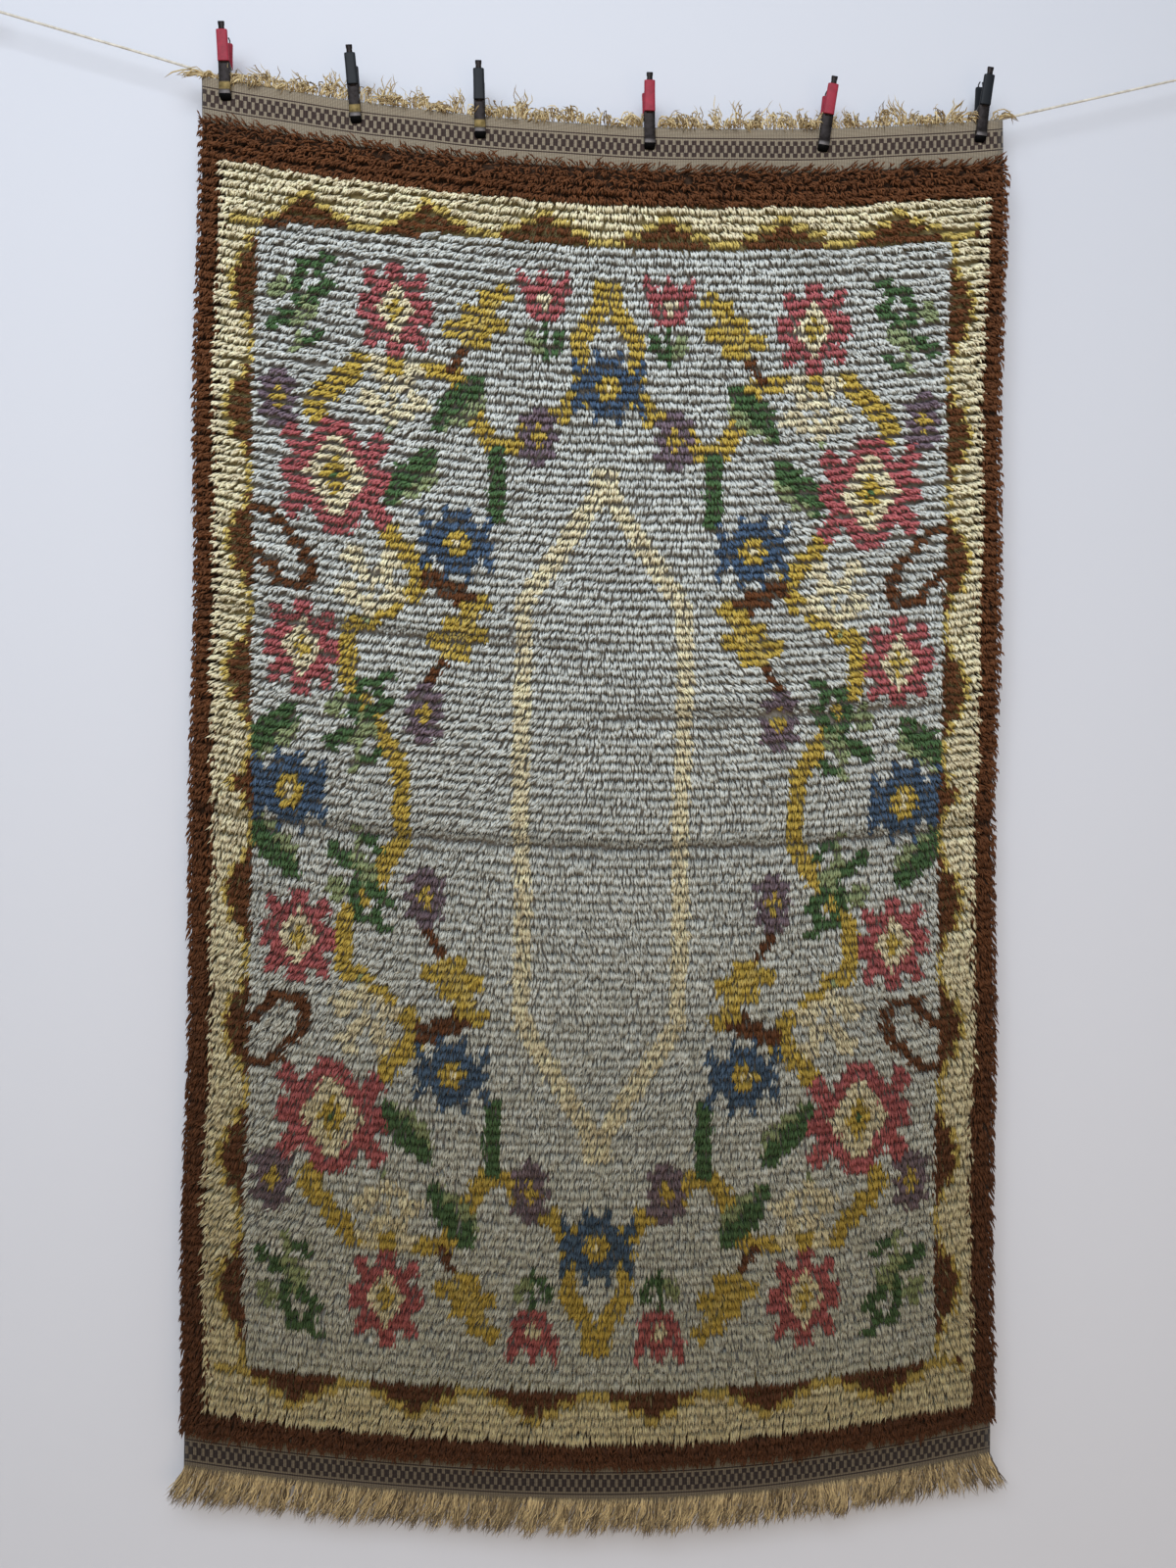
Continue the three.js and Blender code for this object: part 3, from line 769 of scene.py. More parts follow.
def wall_paint(name, hex_colour, opened):
    """Matt emulsion on plaster or boards, even and without gloss."""
    return surfaced(new_material(name), {
        "Base Color": (*linear(hex_colour), 1), "Roughness": 0.9, "Specular IOR Level": 0.2}, opened)


# The knotted design

def chart_rows(chart):
    rows = chart.split()
    width = max(len(row) for row in rows)
    return [row.ljust(width, ".") for row in rows]


def unfolded(chart):
    """Mirror a quarter chart both ways about its last column and row."""
    half = [row + row[-2::-1] for row in chart_rows(chart)]
    return half + half[-2::-1]


def put(design, column, row, yarn):
    """Set a knot in all four quarters of the field."""
    if yarn == ".":
        return
    for c in (column, KNOT_COLUMNS - 1 - column):
        for r in (row, KNOT_ROWS - 1 - row):
            design[r, c] = yarn


def draw_field(design):
    for stem in STEMS:
        for (c0, r0), (c1, r1) in zip(stem.places, stem.places[1:]):
            knots = max(abs(c1 - c0), abs(r1 - r0))
            for k in range(knots + 1):
                column = round(c0 + (c1 - c0) * k / knots)
                row = round(r0 + (r1 - r0) * k / knots)
                for beside in range(STEM_KNOTS):
                    for below in range(STEM_ROWS):
                        put(design, column + beside, row + below, stem.yarn)
    for motif in FIELD:
        rows = unfolded(MIRRORED[motif.chart]) if motif.chart in MIRRORED else chart_rows(WHOLE[motif.chart])
        for j, line in enumerate(rows):
            for i, yarn in enumerate(line):
                put(design, motif.column + i - len(line) // 2, motif.row + j - len(rows) // 2, yarn)


def hill_height(place, first, pitch, hill):
    """Knots of brown above the field's edge, for hills that repeat along it."""
    offset = abs((place - first + pitch // 2) % pitch - pitch // 2)
    return hill[offset] if offset < len(hill) else 0


def banded(depth, hill):
    """The cream band's yarn at a depth in knots from the field: hill, outline or cream."""
    if depth <= hill:
        return "n"
    return "o" if depth == hill + 1 else "c"


def draw_border(design):
    side = SIDE_BORDER.frame + SIDE_BORDER.band
    for row in range(KNOT_ROWS):
        from_bottom = KNOT_ROWS - 1 - row
        from_end, border = (row, TOP_BORDER) if row < from_bottom else (from_bottom, BOTTOM_BORDER)
        side_hill = hill_height(from_end, FIRST_SIDE_HILL, SIDE_HILL_PITCH, SIDE_HILL)
        for column in range(KNOT_COLUMNS):
            from_side = min(column, KNOT_COLUMNS - 1 - column)
            end_hill = hill_height(column, FIRST_END_HILL, END_HILL_PITCH, END_HILL)
            deeper = sum(column < until for until in DEEPER_TOP_UNTIL) if border is TOP_BORDER else 0
            inner_edge = border.frame + border.band + deeper
            if in_frame(row, column):
                design[row, column] = "n"
            elif from_end < border.frame + CREAM_ROWS or from_side < SIDE_BORDER.frame + CREAM_COLUMNS:
                design[row, column] = "c"
            elif from_end < inner_edge:
                design[row, column] = banded(inner_edge - from_end, end_hill)
            elif from_side < side:
                design[row, column] = banded(side - from_side, side_hill)


def in_frame(row, column):
    """Whether a knot, or each of an array of knots, is in the brown frame."""
    from_side = np.minimum(column, KNOT_COLUMNS - 1 - column)
    at_end = (row < TOP_BORDER.frame) | (row >= KNOT_ROWS - BOTTOM_BORDER.frame)
    return at_end | (from_side < SIDE_BORDER.frame)


def knot_design():
    """The yarn letter of every knot, by row and column."""
    design = np.full((KNOT_ROWS, KNOT_COLUMNS), ".")
    draw_field(design)
    draw_border(design)
    return design


# Operators, in the order of making

class RYA_OT_place_camera(bpy.types.Operator):
    """Stand the camera where the photograph was taken"""
    bl_idname = "rya.place_camera"
    bl_label = "Place camera"

    def execute(self, context):
        camera = bpy.data.cameras.new("camera")
        camera.lens = CAMERA_LENS
        camera.sensor_width = CAMERA_SENSOR
        yaw, pitch, roll = (math.radians(a) for a in (CAMERA_YAW, CAMERA_PITCH, CAMERA_ROLL))
        turned = Matrix.Rotation(yaw, 3, "Z") @ Matrix.Rotation(pitch, 3, "X")
        right, forward, up = turned.col
        rolled_right = math.cos(roll) * right + math.sin(roll) * up
        rolled_up = math.cos(roll) * up - math.sin(roll) * right
        placed = Matrix((rolled_right, rolled_up, -forward)).transposed().to_4x4()
        placed.translation = Vector(CAMERA_PLACE) * MM
        stand = bpy.data.objects.new("camera", camera)
        stand.matrix_world = placed
        context.scene.collection.objects.link(stand)
        context.scene.camera = stand
        return {"FINISHED"}


LINE_RING_STEP = 1.6 * MM
LINE_SIDES = 9
LINE_LAY = 14 * MM
LINE_LOBES, LINE_LOBE_DEPTH = 3, 0.3
LOOP_RINGS = 44
WHIP_TURNS, WHIP_LENGTH, WHIP_RADIUS = 3.3, 8 * MM, 2.7 * MM


class RYA_OT_stretch_line(bpy.types.Operator):
    """Stretch the twisted line through the clips, and tie a loop in each end"""
    bl_idname = "rya.stretch_line"
    bl_label = "Stretch line"

    def execute(self, context):
        radius = context.scene.rya_sizes.line_width / 2
        cotton = cotton_cord()
        route = (np.array([(x, LINE_DEPTH, z) for x, z in LINE_ROUTE]) + TO_FRAME) * MM
        path = smooth_route(route, int(run_along(route)[-1] / LINE_RING_STEP))
        points, faces = tube(path, radius, LINE_SIDES, LINE_LAY, LINE_LOBES, LINE_LOBE_DEPTH)
        cord = mesh_piece("line_cord", points, faces, cotton, ("line",))
        for side, loop, end, inward in (
                ("left", LEFT_LOOP, path[0], path[1]), ("right", RIGHT_LOOP, path[-1], path[-2])):
            points, faces = self.tied_loop(loop, end, inward, radius)
            mesh_piece(f"tied_loop_{side}", points, faces, cotton,
                                    (f"line_loop_{side}",))
        return {"FINISHED"}

    def tied_loop(self, loop, end, inward, radius):
        """The line's end, led round a loop and whipped three times round itself."""
        middle = (np.array((loop[0], LINE_DEPTH, loop[1])) + TO_FRAME) * MM
        along = unit(inward - end)
        beside = np.array((-along[2], 0.0, along[0]))
        depth = np.array((0.0, 1.0, 0.0))
        ring_radius = LOOP_RADIUS * MM
        ring = middle + ring_radius * circle(np.radians(np.linspace(12, 348, 30)), along, beside)
        neck = end + 1.5 * MM * along
        eye = smooth_route(np.concatenate(([neck], ring, [neck - 2 * MM * depth])), LOOP_RINGS)
        whips = np.linspace(0, 2 * math.pi * WHIP_TURNS, LOOP_RINGS)
        wrap_start = middle + (ring_radius + radius) * along
        wrap = (wrap_start + np.linspace(0, WHIP_LENGTH, LOOP_RINGS)[:, None] * along
                + WHIP_RADIUS * circle(whips, beside, depth))
        return joined((tube(eye, radius, 8, LINE_LAY, LINE_LOBES, LINE_LOBE_DEPTH),
                       tube(wrap, 0.8 * radius, 7)))


WEAVE_CELL = 16.0
END_BAND_LINES = (0, 4, 9, 14, 18, 25, 30, 36, 42, 46, 54, 62)


class RYA_OT_weave_ground(bpy.types.Operator):
    """Weave the ground cloth, with a chequered band near each end"""
    bl_idname = "rya.weave_ground"
    bl_label = "Weave ground"

    def execute(self, context):
        across = np.linspace(-RUG_WIDTH / 2, RUG_WIDTH / 2, int(RUG_WIDTH / WEAVE_CELL) + 1)
        middle = np.linspace(BAND_LENGTH, RUG_LENGTH - BAND_LENGTH, 58)[1:-1]
        down = np.concatenate((END_BAND_LINES, middle, RUG_LENGTH - np.array(END_BAND_LINES[::-1])))
        u, v = np.meshgrid(across, down)
        rows, columns = u.shape
        half = WEAVE_THICKNESS / 2
        points = np.concatenate([hang(u, v, out).reshape(-1, 3) for out in (half, -half)])
        cell = np.arange(rows - 1)[:, None] * columns + np.arange(columns - 1)
        faces = np.stack((cell, cell + columns, cell + columns + 1, cell + 1), axis=-1).reshape(-1, 4)
        behind = faces[:, ::-1] + rows * columns
        rim = np.concatenate((
            np.arange(rows - 1) * columns,
            (rows - 1) * columns + np.arange(columns - 1),
            np.arange(rows - 1, 0, -1) * columns + columns - 1,
            np.arange(columns - 1, 0, -1),
        ))
        after = np.roll(rim, -1)
        walls = np.stack((after, rim, rim + rows * columns, after + rows * columns), axis=-1)
        from_end = np.minimum(v, RUG_LENGTH - v)
        cloth = [np.stack((u, from_end, np.full_like(u, front)), axis=-1).reshape(-1, 3) for front in (1, 0)]
        # Darker towards the bottom: painted shade, with some soil
        soil = np.tile(smoothstep(v / RUG_LENGTH, 0.3, 1.0).ravel(), 2)
        piece = mesh_piece("woven_ground", points, np.concatenate((faces, behind, walls)), plain_weave(),
                           ("ground_weave",), {"cloth": np.concatenate(cloth), "soil": soil})
        context.scene["rya_ground"] = piece.name
        return {"FINISHED"}


# How a cut end lies: its height above the cloth's front at three places along it, in the upper and
# lower rug, how much longer it is, how much of its lean, fall and tone it shares with its tuft, how far
# down the row its root may be, and its own lean
PLACES_ALONG = (0.0, 0.6, 1.0)
Lie = namedtuple("Lie", "short_out long_out longer tufted spread tangle")
YARN_END = Lie((1.0, 10.8, 9.0), (1.0, 9.8, 11.4), 0.0, 0.3, 6.5, 0.2)
HAIR = Lie((1.0, 10.4, 9.6), (1.0, 9.6, 10.6), 2.0, 0.2, 10.0, 0.42)
HAIRS_PER_KNOT = 8
TUFTS_PER_KNOT = 2
RIM_REACH = 4.5
# A three-sided strand looks narrower than the circle round it
RADIUS_BY_WIDTH = 0.6
HIGHEST_PILE = 14.5
LONG_PILE_FROM, LONG_PILE_BY = 0.36, 0.62
PILE_PIECES = {"grey": 4, "cream": 2}
# What a parting does to the ends on it: it shortens them, and darkens and warms them with painted shade; and
# its width in rows
PARTING_SHORTENS, PARTING_PAINTED_SHADE, PARTING_PAINTED_WARM_SHADE, PARTING_WIDTH = 0.34, 0.5, 0.25, 0.75
# Painted shade towards the roots, with the tips' fading
ROOT_SHADE_AND_WEAR = 0.25
STEEPEST_LEAN = 0.88


class RYA_OT_knot_pile(bpy.types.Operator):
    """Knot the pile row by row, each yarn colour a piece of its own"""
    bl_idname = "rya.knot_pile"
    bl_label = "Knot pile"

    def execute(self, context):
        sizes = context.scene.rya_sizes
        design = knot_design()
        framed = in_frame(np.arange(KNOT_ROWS)[:, None], np.arange(KNOT_COLUMNS)[None])
        for letter, yarn in YARNS.items():
            wool = wool_yarn(yarn, tuple(getattr(context.scene.rya_yarns, yarn)))
            chosen = (design == letter) & ~framed
            strands = self.cut_ends(chosen, sizes, YARN_END, sizes.ends_per_knot, 20 + ord(letter))
            self.make(strands, f"pile_{yarn}", PILE_PIECES.get(yarn, 1), wool)
            if yarn == "brown":
                hairs = self.cut_ends(framed, sizes, HAIR, HAIRS_PER_KNOT, 19)
                self.make(hairs, "pile_frame", 1, wool)
        return {"FINISHED"}

    def cut_ends(self, chosen, sizes, lie, ends, seed):
        """The paths, radii, tones and painted shade with soil of the cut ends of the chosen knots."""
        random = np.random.default_rng(seed)
        knot_rows, knot_columns = np.nonzero(chosen)
        knots = len(knot_rows)
        rows = np.repeat(knot_rows, ends)
        columns = np.repeat(knot_columns, ends)
        end = np.tile(np.arange(ends), knots)
        layer = random.permuted(np.tile(np.arange(ends), (knots, 1)), axis=1).ravel() / max(ends - 1, 1)
        knot_noise = np.repeat(random.normal(size=(knots, 4)), ends, axis=0)
        noise = random.normal(size=(knots * ends, 8))
        row_noise = np.random.default_rng(3).normal(size=(KNOT_ROWS, 3))[rows]

        in_tuft = ends / TUFTS_PER_KNOT
        tuft = (end // in_tuft).astype(int)
        beside = COLUMN_PITCH / ends * (end % in_tuft - (in_tuft - 1) / 2)
        tuft_noise = random.normal(size=(knots, TUFTS_PER_KNOT, 5))[np.repeat(np.arange(knots), ends), tuft]
        shared = lie.tufted * tuft_noise[:, 1:] + (1 - lie.tufted) * noise[:, 2:6]

        across = (columns + 0.5 - KNOT_COLUMNS / 2 + (tuft + 0.5) / TUFTS_PER_KNOT - 0.5) * COLUMN_PITCH
        across = across + 0.3 * tuft_noise[:, 0] + 0.4 * noise[:, 0] + beside
        wobble = 1.1 * np.sin(across / 31 + 9 * row_noise[:, 2])
        wobble = wobble + 0.9 * np.sin(across / 12 + 5 * row_noise[:, 1])
        row_down = BAND_LENGTH + ROW_PITCH * rows + wobble + 0.6 * knot_noise[:, 0]
        down = row_down + 0.6 + lie.spread * layer + 0.4 * noise[:, 1]
        side = 2 * across / RUG_WIDTH
        long_share = smoothstep(down / RUG_LENGTH, LONG_PILE_FROM, LONG_PILE_BY)
        hang_below = ((1 - long_share) * sizes.short_pile + long_share * sizes.long_pile) / MM
        parting = self.parting(across, down)
        hang_below = hang_below * (1 - PARTING_SHORTENS * parting) + lie.longer

        lean = self.lean(side, across, down, long_share)
        lean = lean + 0.07 * row_noise[:, 0] + 0.05 * knot_noise[:, 1] + lie.tangle * shared[:, 0]
        lean = self.rim_lean(rows, columns, lean, noise)
        fall = row_down + hang_below * (0.3 + 0.7 * np.sqrt(1 - lean ** 2)) - down
        fall = fall + (1.8 + 1.2 * long_share) * shared[:, 1] + 0.4 * knot_noise[:, 2]
        fall = self.rim_fall(rows, fall, noise)
        aside = 0.85 * hang_below * lean
        reach = RUG_WIDTH / 2 + RIM_REACH + 1.6 * noise[:, 5]
        aside = np.clip(across + aside, -reach, reach) - across

        paths = np.empty((len(rows), len(PLACES_ALONG), 3))
        for k, share in enumerate(PLACES_ALONG):
            out = (1 - long_share) * lie.short_out[k] + long_share * lie.long_out[k]
            out = out + share * (1.9 * shared[:, 2] + 0.3 * knot_noise[:, 3])
            out = out + (share == 1) * 1.2 * noise[:, 1]
            curve = 0.8 * math.sin(math.pi * share) * noise[:, 6]
            paths[:, k] = hang(across + share * aside + curve, down + share * fall,
                               WEAVE_THICKNESS / 2 + np.clip(out, 0.2, HIGHEST_PILE))
        width = (1 - long_share) * sizes.yarn_width + long_share * sizes.lower_yarn_width
        if lie is HAIR:
            width = sizes.hair_width
        radii = RADIUS_BY_WIDTH * (width * (1 + 0.12 * noise[:, 7]))[:, None]
        patch = np.sin(across / 43 + 2 * np.sin(down / 71)) * np.sin(down / 57 + across / 190)
        shade = 0.5 + 0.3 * shared[:, 3] + 0.05 * knot_noise[:, 0] + 0.05 * row_noise[:, 1] + 0.08 * patch
        # The partings are darker: painted shade
        shade = shade - PARTING_PAINTED_SHADE * parting
        # Darker towards the bottom: painted shade, with some soil
        soil = 0.92 * smoothstep(down / RUG_LENGTH, 0.2, 1.0) + 0.06 * knot_noise[:, 2]
        # and warmer and darker still through the soil colour: painted shade
        soil = soil + PARTING_PAINTED_WARM_SHADE * parting
        return paths, radii, np.clip(shade, 0, 1), np.clip(soil, 0, 1)

    def make(self, strands, name, pieces, wool):
        """Make one yarn's cut ends, split between pieces that stay small."""
        random = np.random.default_rng(29)
        paths, radii, shade, soil = strands
        for k, part in enumerate(np.array_split(np.arange(len(paths)), pieces)):
            points, faces = pointed_strands(paths[part], radii[part], random)
            # Darker towards the root: painted shade, with the tips' fading
            recoloured = per_point(soil[part], paths[part]) + ROOT_SHADE_AND_WEAR * (1 - tip_share(paths[part]))
            piece_name = name if pieces == 1 else f"{name}_{k + 1}"
            mesh_piece(piece_name, points, faces, wool, ("pile",), {
                "shade": per_point(shade[part], paths[part]), "soil": np.clip(recoloured, 0, 1)})

    def lean(self, side, across, down, long_share):
        """How far the ends lean sideways, as the sine of their angle: outwards, in soft drifts."""
        drift = 0.13 * np.sin(across / 87 + down / 140) + 0.11 * np.sin(down / 61 - across / 210 + 1.3)
        upper = 0.72 * np.tanh(1.9 * (side - 0.08)) + 1.2 * drift
        lower = 0.27 * side - 0.12 + 0.9 * drift
        return (1 - long_share) * upper + long_share * lower

    def parting(self, across, down):
        """1 on a crease, where the rows part, fading within a row."""
        parted = np.zeros_like(across)
        for crease in CREASES[:3]:
            along = np.exp(-((across - crease.across) / crease.reach) ** 4)
            from_crease = (down - crease.down * RUG_LENGTH) / (PARTING_WIDTH * ROW_PITCH)
            parted = np.maximum(parted, along * np.exp(-from_crease ** 2))
        return parted

    def rim_lean(self, rows, columns, lean, noise):
        """Ends beside the rim splay outwards, and those along the top are ruffled."""
        from_side = np.minimum(columns, KNOT_COLUMNS - 1 - columns)
        outward = np.where(columns < KNOT_COLUMNS / 2, -1.0, 1.0)
        edge = np.clip(1 - from_side / 3.0, 0, 1)
        lean = lean * (1 - edge) + outward * edge * (0.3 + 0.18 * noise[:, 6])
        lean = np.where(rows < 2, lean + 0.3 * noise[:, 2], lean)
        return np.clip(lean, -STEEPEST_LEAN, STEEPEST_LEAN)

    def rim_fall(self, rows, fall, noise):
        """Much of the first two rows was brushed up over the plain strip; the last hangs over the other."""
        fall = np.where((rows == 0) & (noise[:, 6] > -0.3), -6.0 + 3.2 * noise[:, 7], fall)
        fall = np.where((rows == 1) & (noise[:, 6] > 0.6), 4 * noise[:, 7], fall)
        return np.where(rows == KNOT_ROWS - 1, fall - 5 + 2 * noise[:, 7], fall)


TOP_FRINGE_ENDS = 1250
TOP_WARP_RADIUS = 0.95
BOTTOM_FRINGE_ENDS = 3500
BOTTOM_WARP_RADIUS = 0.72
BOTTOM_TUFT = 8.5
FRINGE_MIDDLE = 12.0
CLIP_CLEARANCE = 8.5
TOP_ROOT, BOTTOM_ROOT, BOTTOM_OUT = 1.5, 11.0, 1.2


def place_in_fringe(clip):
    """Where a leaning clip passes through the top fringe."""
    return clip.x + (clip.grip + FRINGE_MIDDLE) * math.sin(math.radians(clip.lean))


class RYA_OT_knot_fringes(bpy.types.Operator):
    """Leave the warp ends standing at the top edge and hanging at the bottom"""
    bl_idname = "rya.knot_fringes"
    bl_label = "Knot fringes"

    def execute(self, context):
        sizes = context.scene.rya_sizes
        top = self.standing(sizes.fringe_rise / MM)
        bottom = self.hanging(sizes.fringe_drop / MM)
        return {"FINISHED"}

    def standing(self, rise):
        """Short warp ends: frizzy tufts that stand up, curl over the edge and splay at the corners."""
        random = np.random.default_rng(11)
        across = np.sort(random.uniform(-0.5, 0.5, TOP_FRINGE_ENDS)) * (RUG_WIDTH - 4)
        clear = np.min([np.abs(across - place_in_fringe(clip)) for clip in CLIPS], axis=0) > CLIP_CLEARANCE
        across = across[clear]
        count = len(across)
        tuft = (across // 15).astype(int) - int(-RUG_WIDTH // 30) + 2
        tufts = random.normal(size=(tuft.max() + 1, 5))[tuft]
        noise = random.normal(size=(count, 6))
        corner = 2 * across / RUG_WIDTH
        tall = rise * np.clip(0.85 + 0.2 * tufts[:, 0] + 0.25 * noise[:, 0], 0.3, 1.4)
        tall = tall * (1 - 0.3 * np.abs(corner) ** 9)
        lean = 26 * corner ** 9 + 6 * tufts[:, 1] + 7 * noise[:, 1]
        forward = 4 + 3 * tufts[:, 2] + 3 * noise[:, 2]
        droop = np.clip(0.75 + 0.35 * tufts[:, 3] + 0.25 * noise[:, 3], 0.05, 1.25)
        base = hang(across, TOP_ROOT, 0.0)
        steps = np.linspace(0, 1, 7)
        paths = np.empty((count, len(steps), 3))
        wriggle = random.uniform(0, 2 * math.pi, count)
        turning = random.uniform(6, 10, count)
        for k, share in enumerate(steps):
            swing = 3.4 * math.sqrt(share) * np.sin(wriggle + turning * share)
            depth = 2.4 * math.sqrt(share) * np.cos(wriggle + turning * share)
            up = tall * (1.6 * share - droop * 1.5 * share ** 3)
            offset = np.stack((lean * share ** 1.4 + swing, -forward * share ** 1.5 - depth, up), axis=-1)
            paths[:, k] = base + offset * MM
        return self.warp_ends("warp_ends_top", paths, TOP_WARP_RADIUS, noise, random,
                              ("#8d7248", "#dfcb9b"), "fringe_top")

    def hanging(self, drop):
        """Long warp ends: a dense straw fringe, combed down to the left in uneven tufts."""
        random = np.random.default_rng(13)
        across = np.sort(random.uniform(-0.5, 0.5, BOTTOM_FRINGE_ENDS)) * (RUG_WIDTH - 3)
        count = len(across)
        tuft = (across // BOTTOM_TUFT).astype(int) - int(-RUG_WIDTH // (2 * BOTTOM_TUFT)) + 2
        tufts = random.normal(size=(tuft.max() + 1, 4))[tuft]
        noise = random.normal(size=(count, 6))
        noise[:, 4] = noise[:, 4] + 0.3 * tufts[:, 3]
        gather = -0.2 * (across % BOTTOM_TUFT - BOTTOM_TUFT / 2)
        corner = 2 * across / RUG_WIDTH
        tall = drop * np.clip(0.92 + 0.06 * tufts[:, 0] + 0.12 * noise[:, 0], 0.5, 1.15)
        combed = 9 * corner - 13 + 24 * np.maximum(corner, 0) ** 9
        lean = combed + gather + 5 * np.sin(across / 40) + 3.5 * tufts[:, 1] + 5 * noise[:, 1]
        base = hang(across, RUG_LENGTH - BOTTOM_ROOT, BOTTOM_OUT)
        steps = np.array((0, 0.2, 0.5, 0.8, 1))
        paths = np.empty((count, len(steps), 3))
        wriggle = random.uniform(0, 2 * math.pi, count)
        for k, share in enumerate(steps):
            swing = 3.0 * math.sqrt(share) * np.sin(wriggle + 10 * share) + 2.5 * share * tufts[:, 2]
            depth = 2.4 * math.sqrt(share) * np.cos(wriggle + 7 * share) + 3 * share * np.abs(tufts[:, 0])
            offset = np.stack((lean * share ** 1.3 + swing, -depth, -tall * share), axis=-1)
            paths[:, k] = base + offset * MM
        return self.warp_ends("warp_ends_bottom", paths, BOTTOM_WARP_RADIUS, noise, random,
                              ("#4c3c27", "#c8b080"), "fringe_bottom")

    def warp_ends(self, name, paths, radius, noise, random, hexes, node):
        """Make one fringe's warp ends, of which a few are dark."""
        radii = radius * MM * (1 + 0.2 * noise[:, 3])[:, None] * np.ones(paths.shape[1] - 2)
        points, faces = pointed_strands(paths, radii, random)
        shade = np.clip(0.5 + 0.3 * noise[:, 4], 0.1, 1)
        shade = np.where(noise[:, 5] > 2.2, 0, shade)
        return mesh_piece(name, points, faces, linen_warp(f"linen_{name}", *hexes),
                          (node,), {"shade": per_point(shade, paths)})


# A clip's leg from its side: up from the jaw's tip, out to its back, width, and in to its flange's edge
Station = namedtuple("Station", "up out width inner")
LEG_STATIONS = [Station(*station) for station in (
    (0.0, 4.0, 0.70, 2.0), (1.0, 5.6, 0.88, 2.0), (3.0, 7.4, 0.98, 2.1), (4.5, 8.4, 1.0, 3.4),
    (6.0, 9.3, 1.0, 2.1), (7.5, 9.9, 1.0, 3.4), (9.0, 10.4, 1.0, 2.1), (11.0, 10.6, 1.0, 3.2),
    (13.0, 10.2, 1.0, 2.4), (16.0, 9.2, 1.0, 4.6), (20.0, 8.6, 1.0, 6.6), (30.0, 8.6, 1.0, 6.7),
    (39.5, 8.8, 1.0, 6.6), (42.5, 8.9, 1.0, 0.0), (44.5, 9.0, 1.0, -3.2), (49.0, 9.2, 1.0, -3.2),
    (51.0, 9.7, 1.0, 3.0), (52.5, 10.0, 0.98, 7.0),
)]
LEG_THICKNESS = 1.2
FRONT_LEG_WIDTH, BACK_LEG_WIDTH = 16.0, 13.2
HANDLE_WIDTH = 9.0
HANDLE_FROM, HANDLE_TO = (9.3, 49.5), (18.6, 103.0)
SLEEVE_WIDTH, SLEEVE_THICKNESS, SLEEVE_START, SLEEVE_LENGTH = 16.5, 6.6, 2.5, 41.0
PIVOT_UP = 46.6
COIL_RADIUS, COIL_TURNS, COIL_RINGS, COIL_HALF = 3.1, 5, 70, 4.2
LEG_CORNER = 0.9
TANG_TOP = 0.82
NOSE_DOME = 0.045
# Clips that carry the painted highlight at the jaw
HIGHLIT_CLIPS = (1, 2, 3)
JAW_UP_SCALE = 100.0


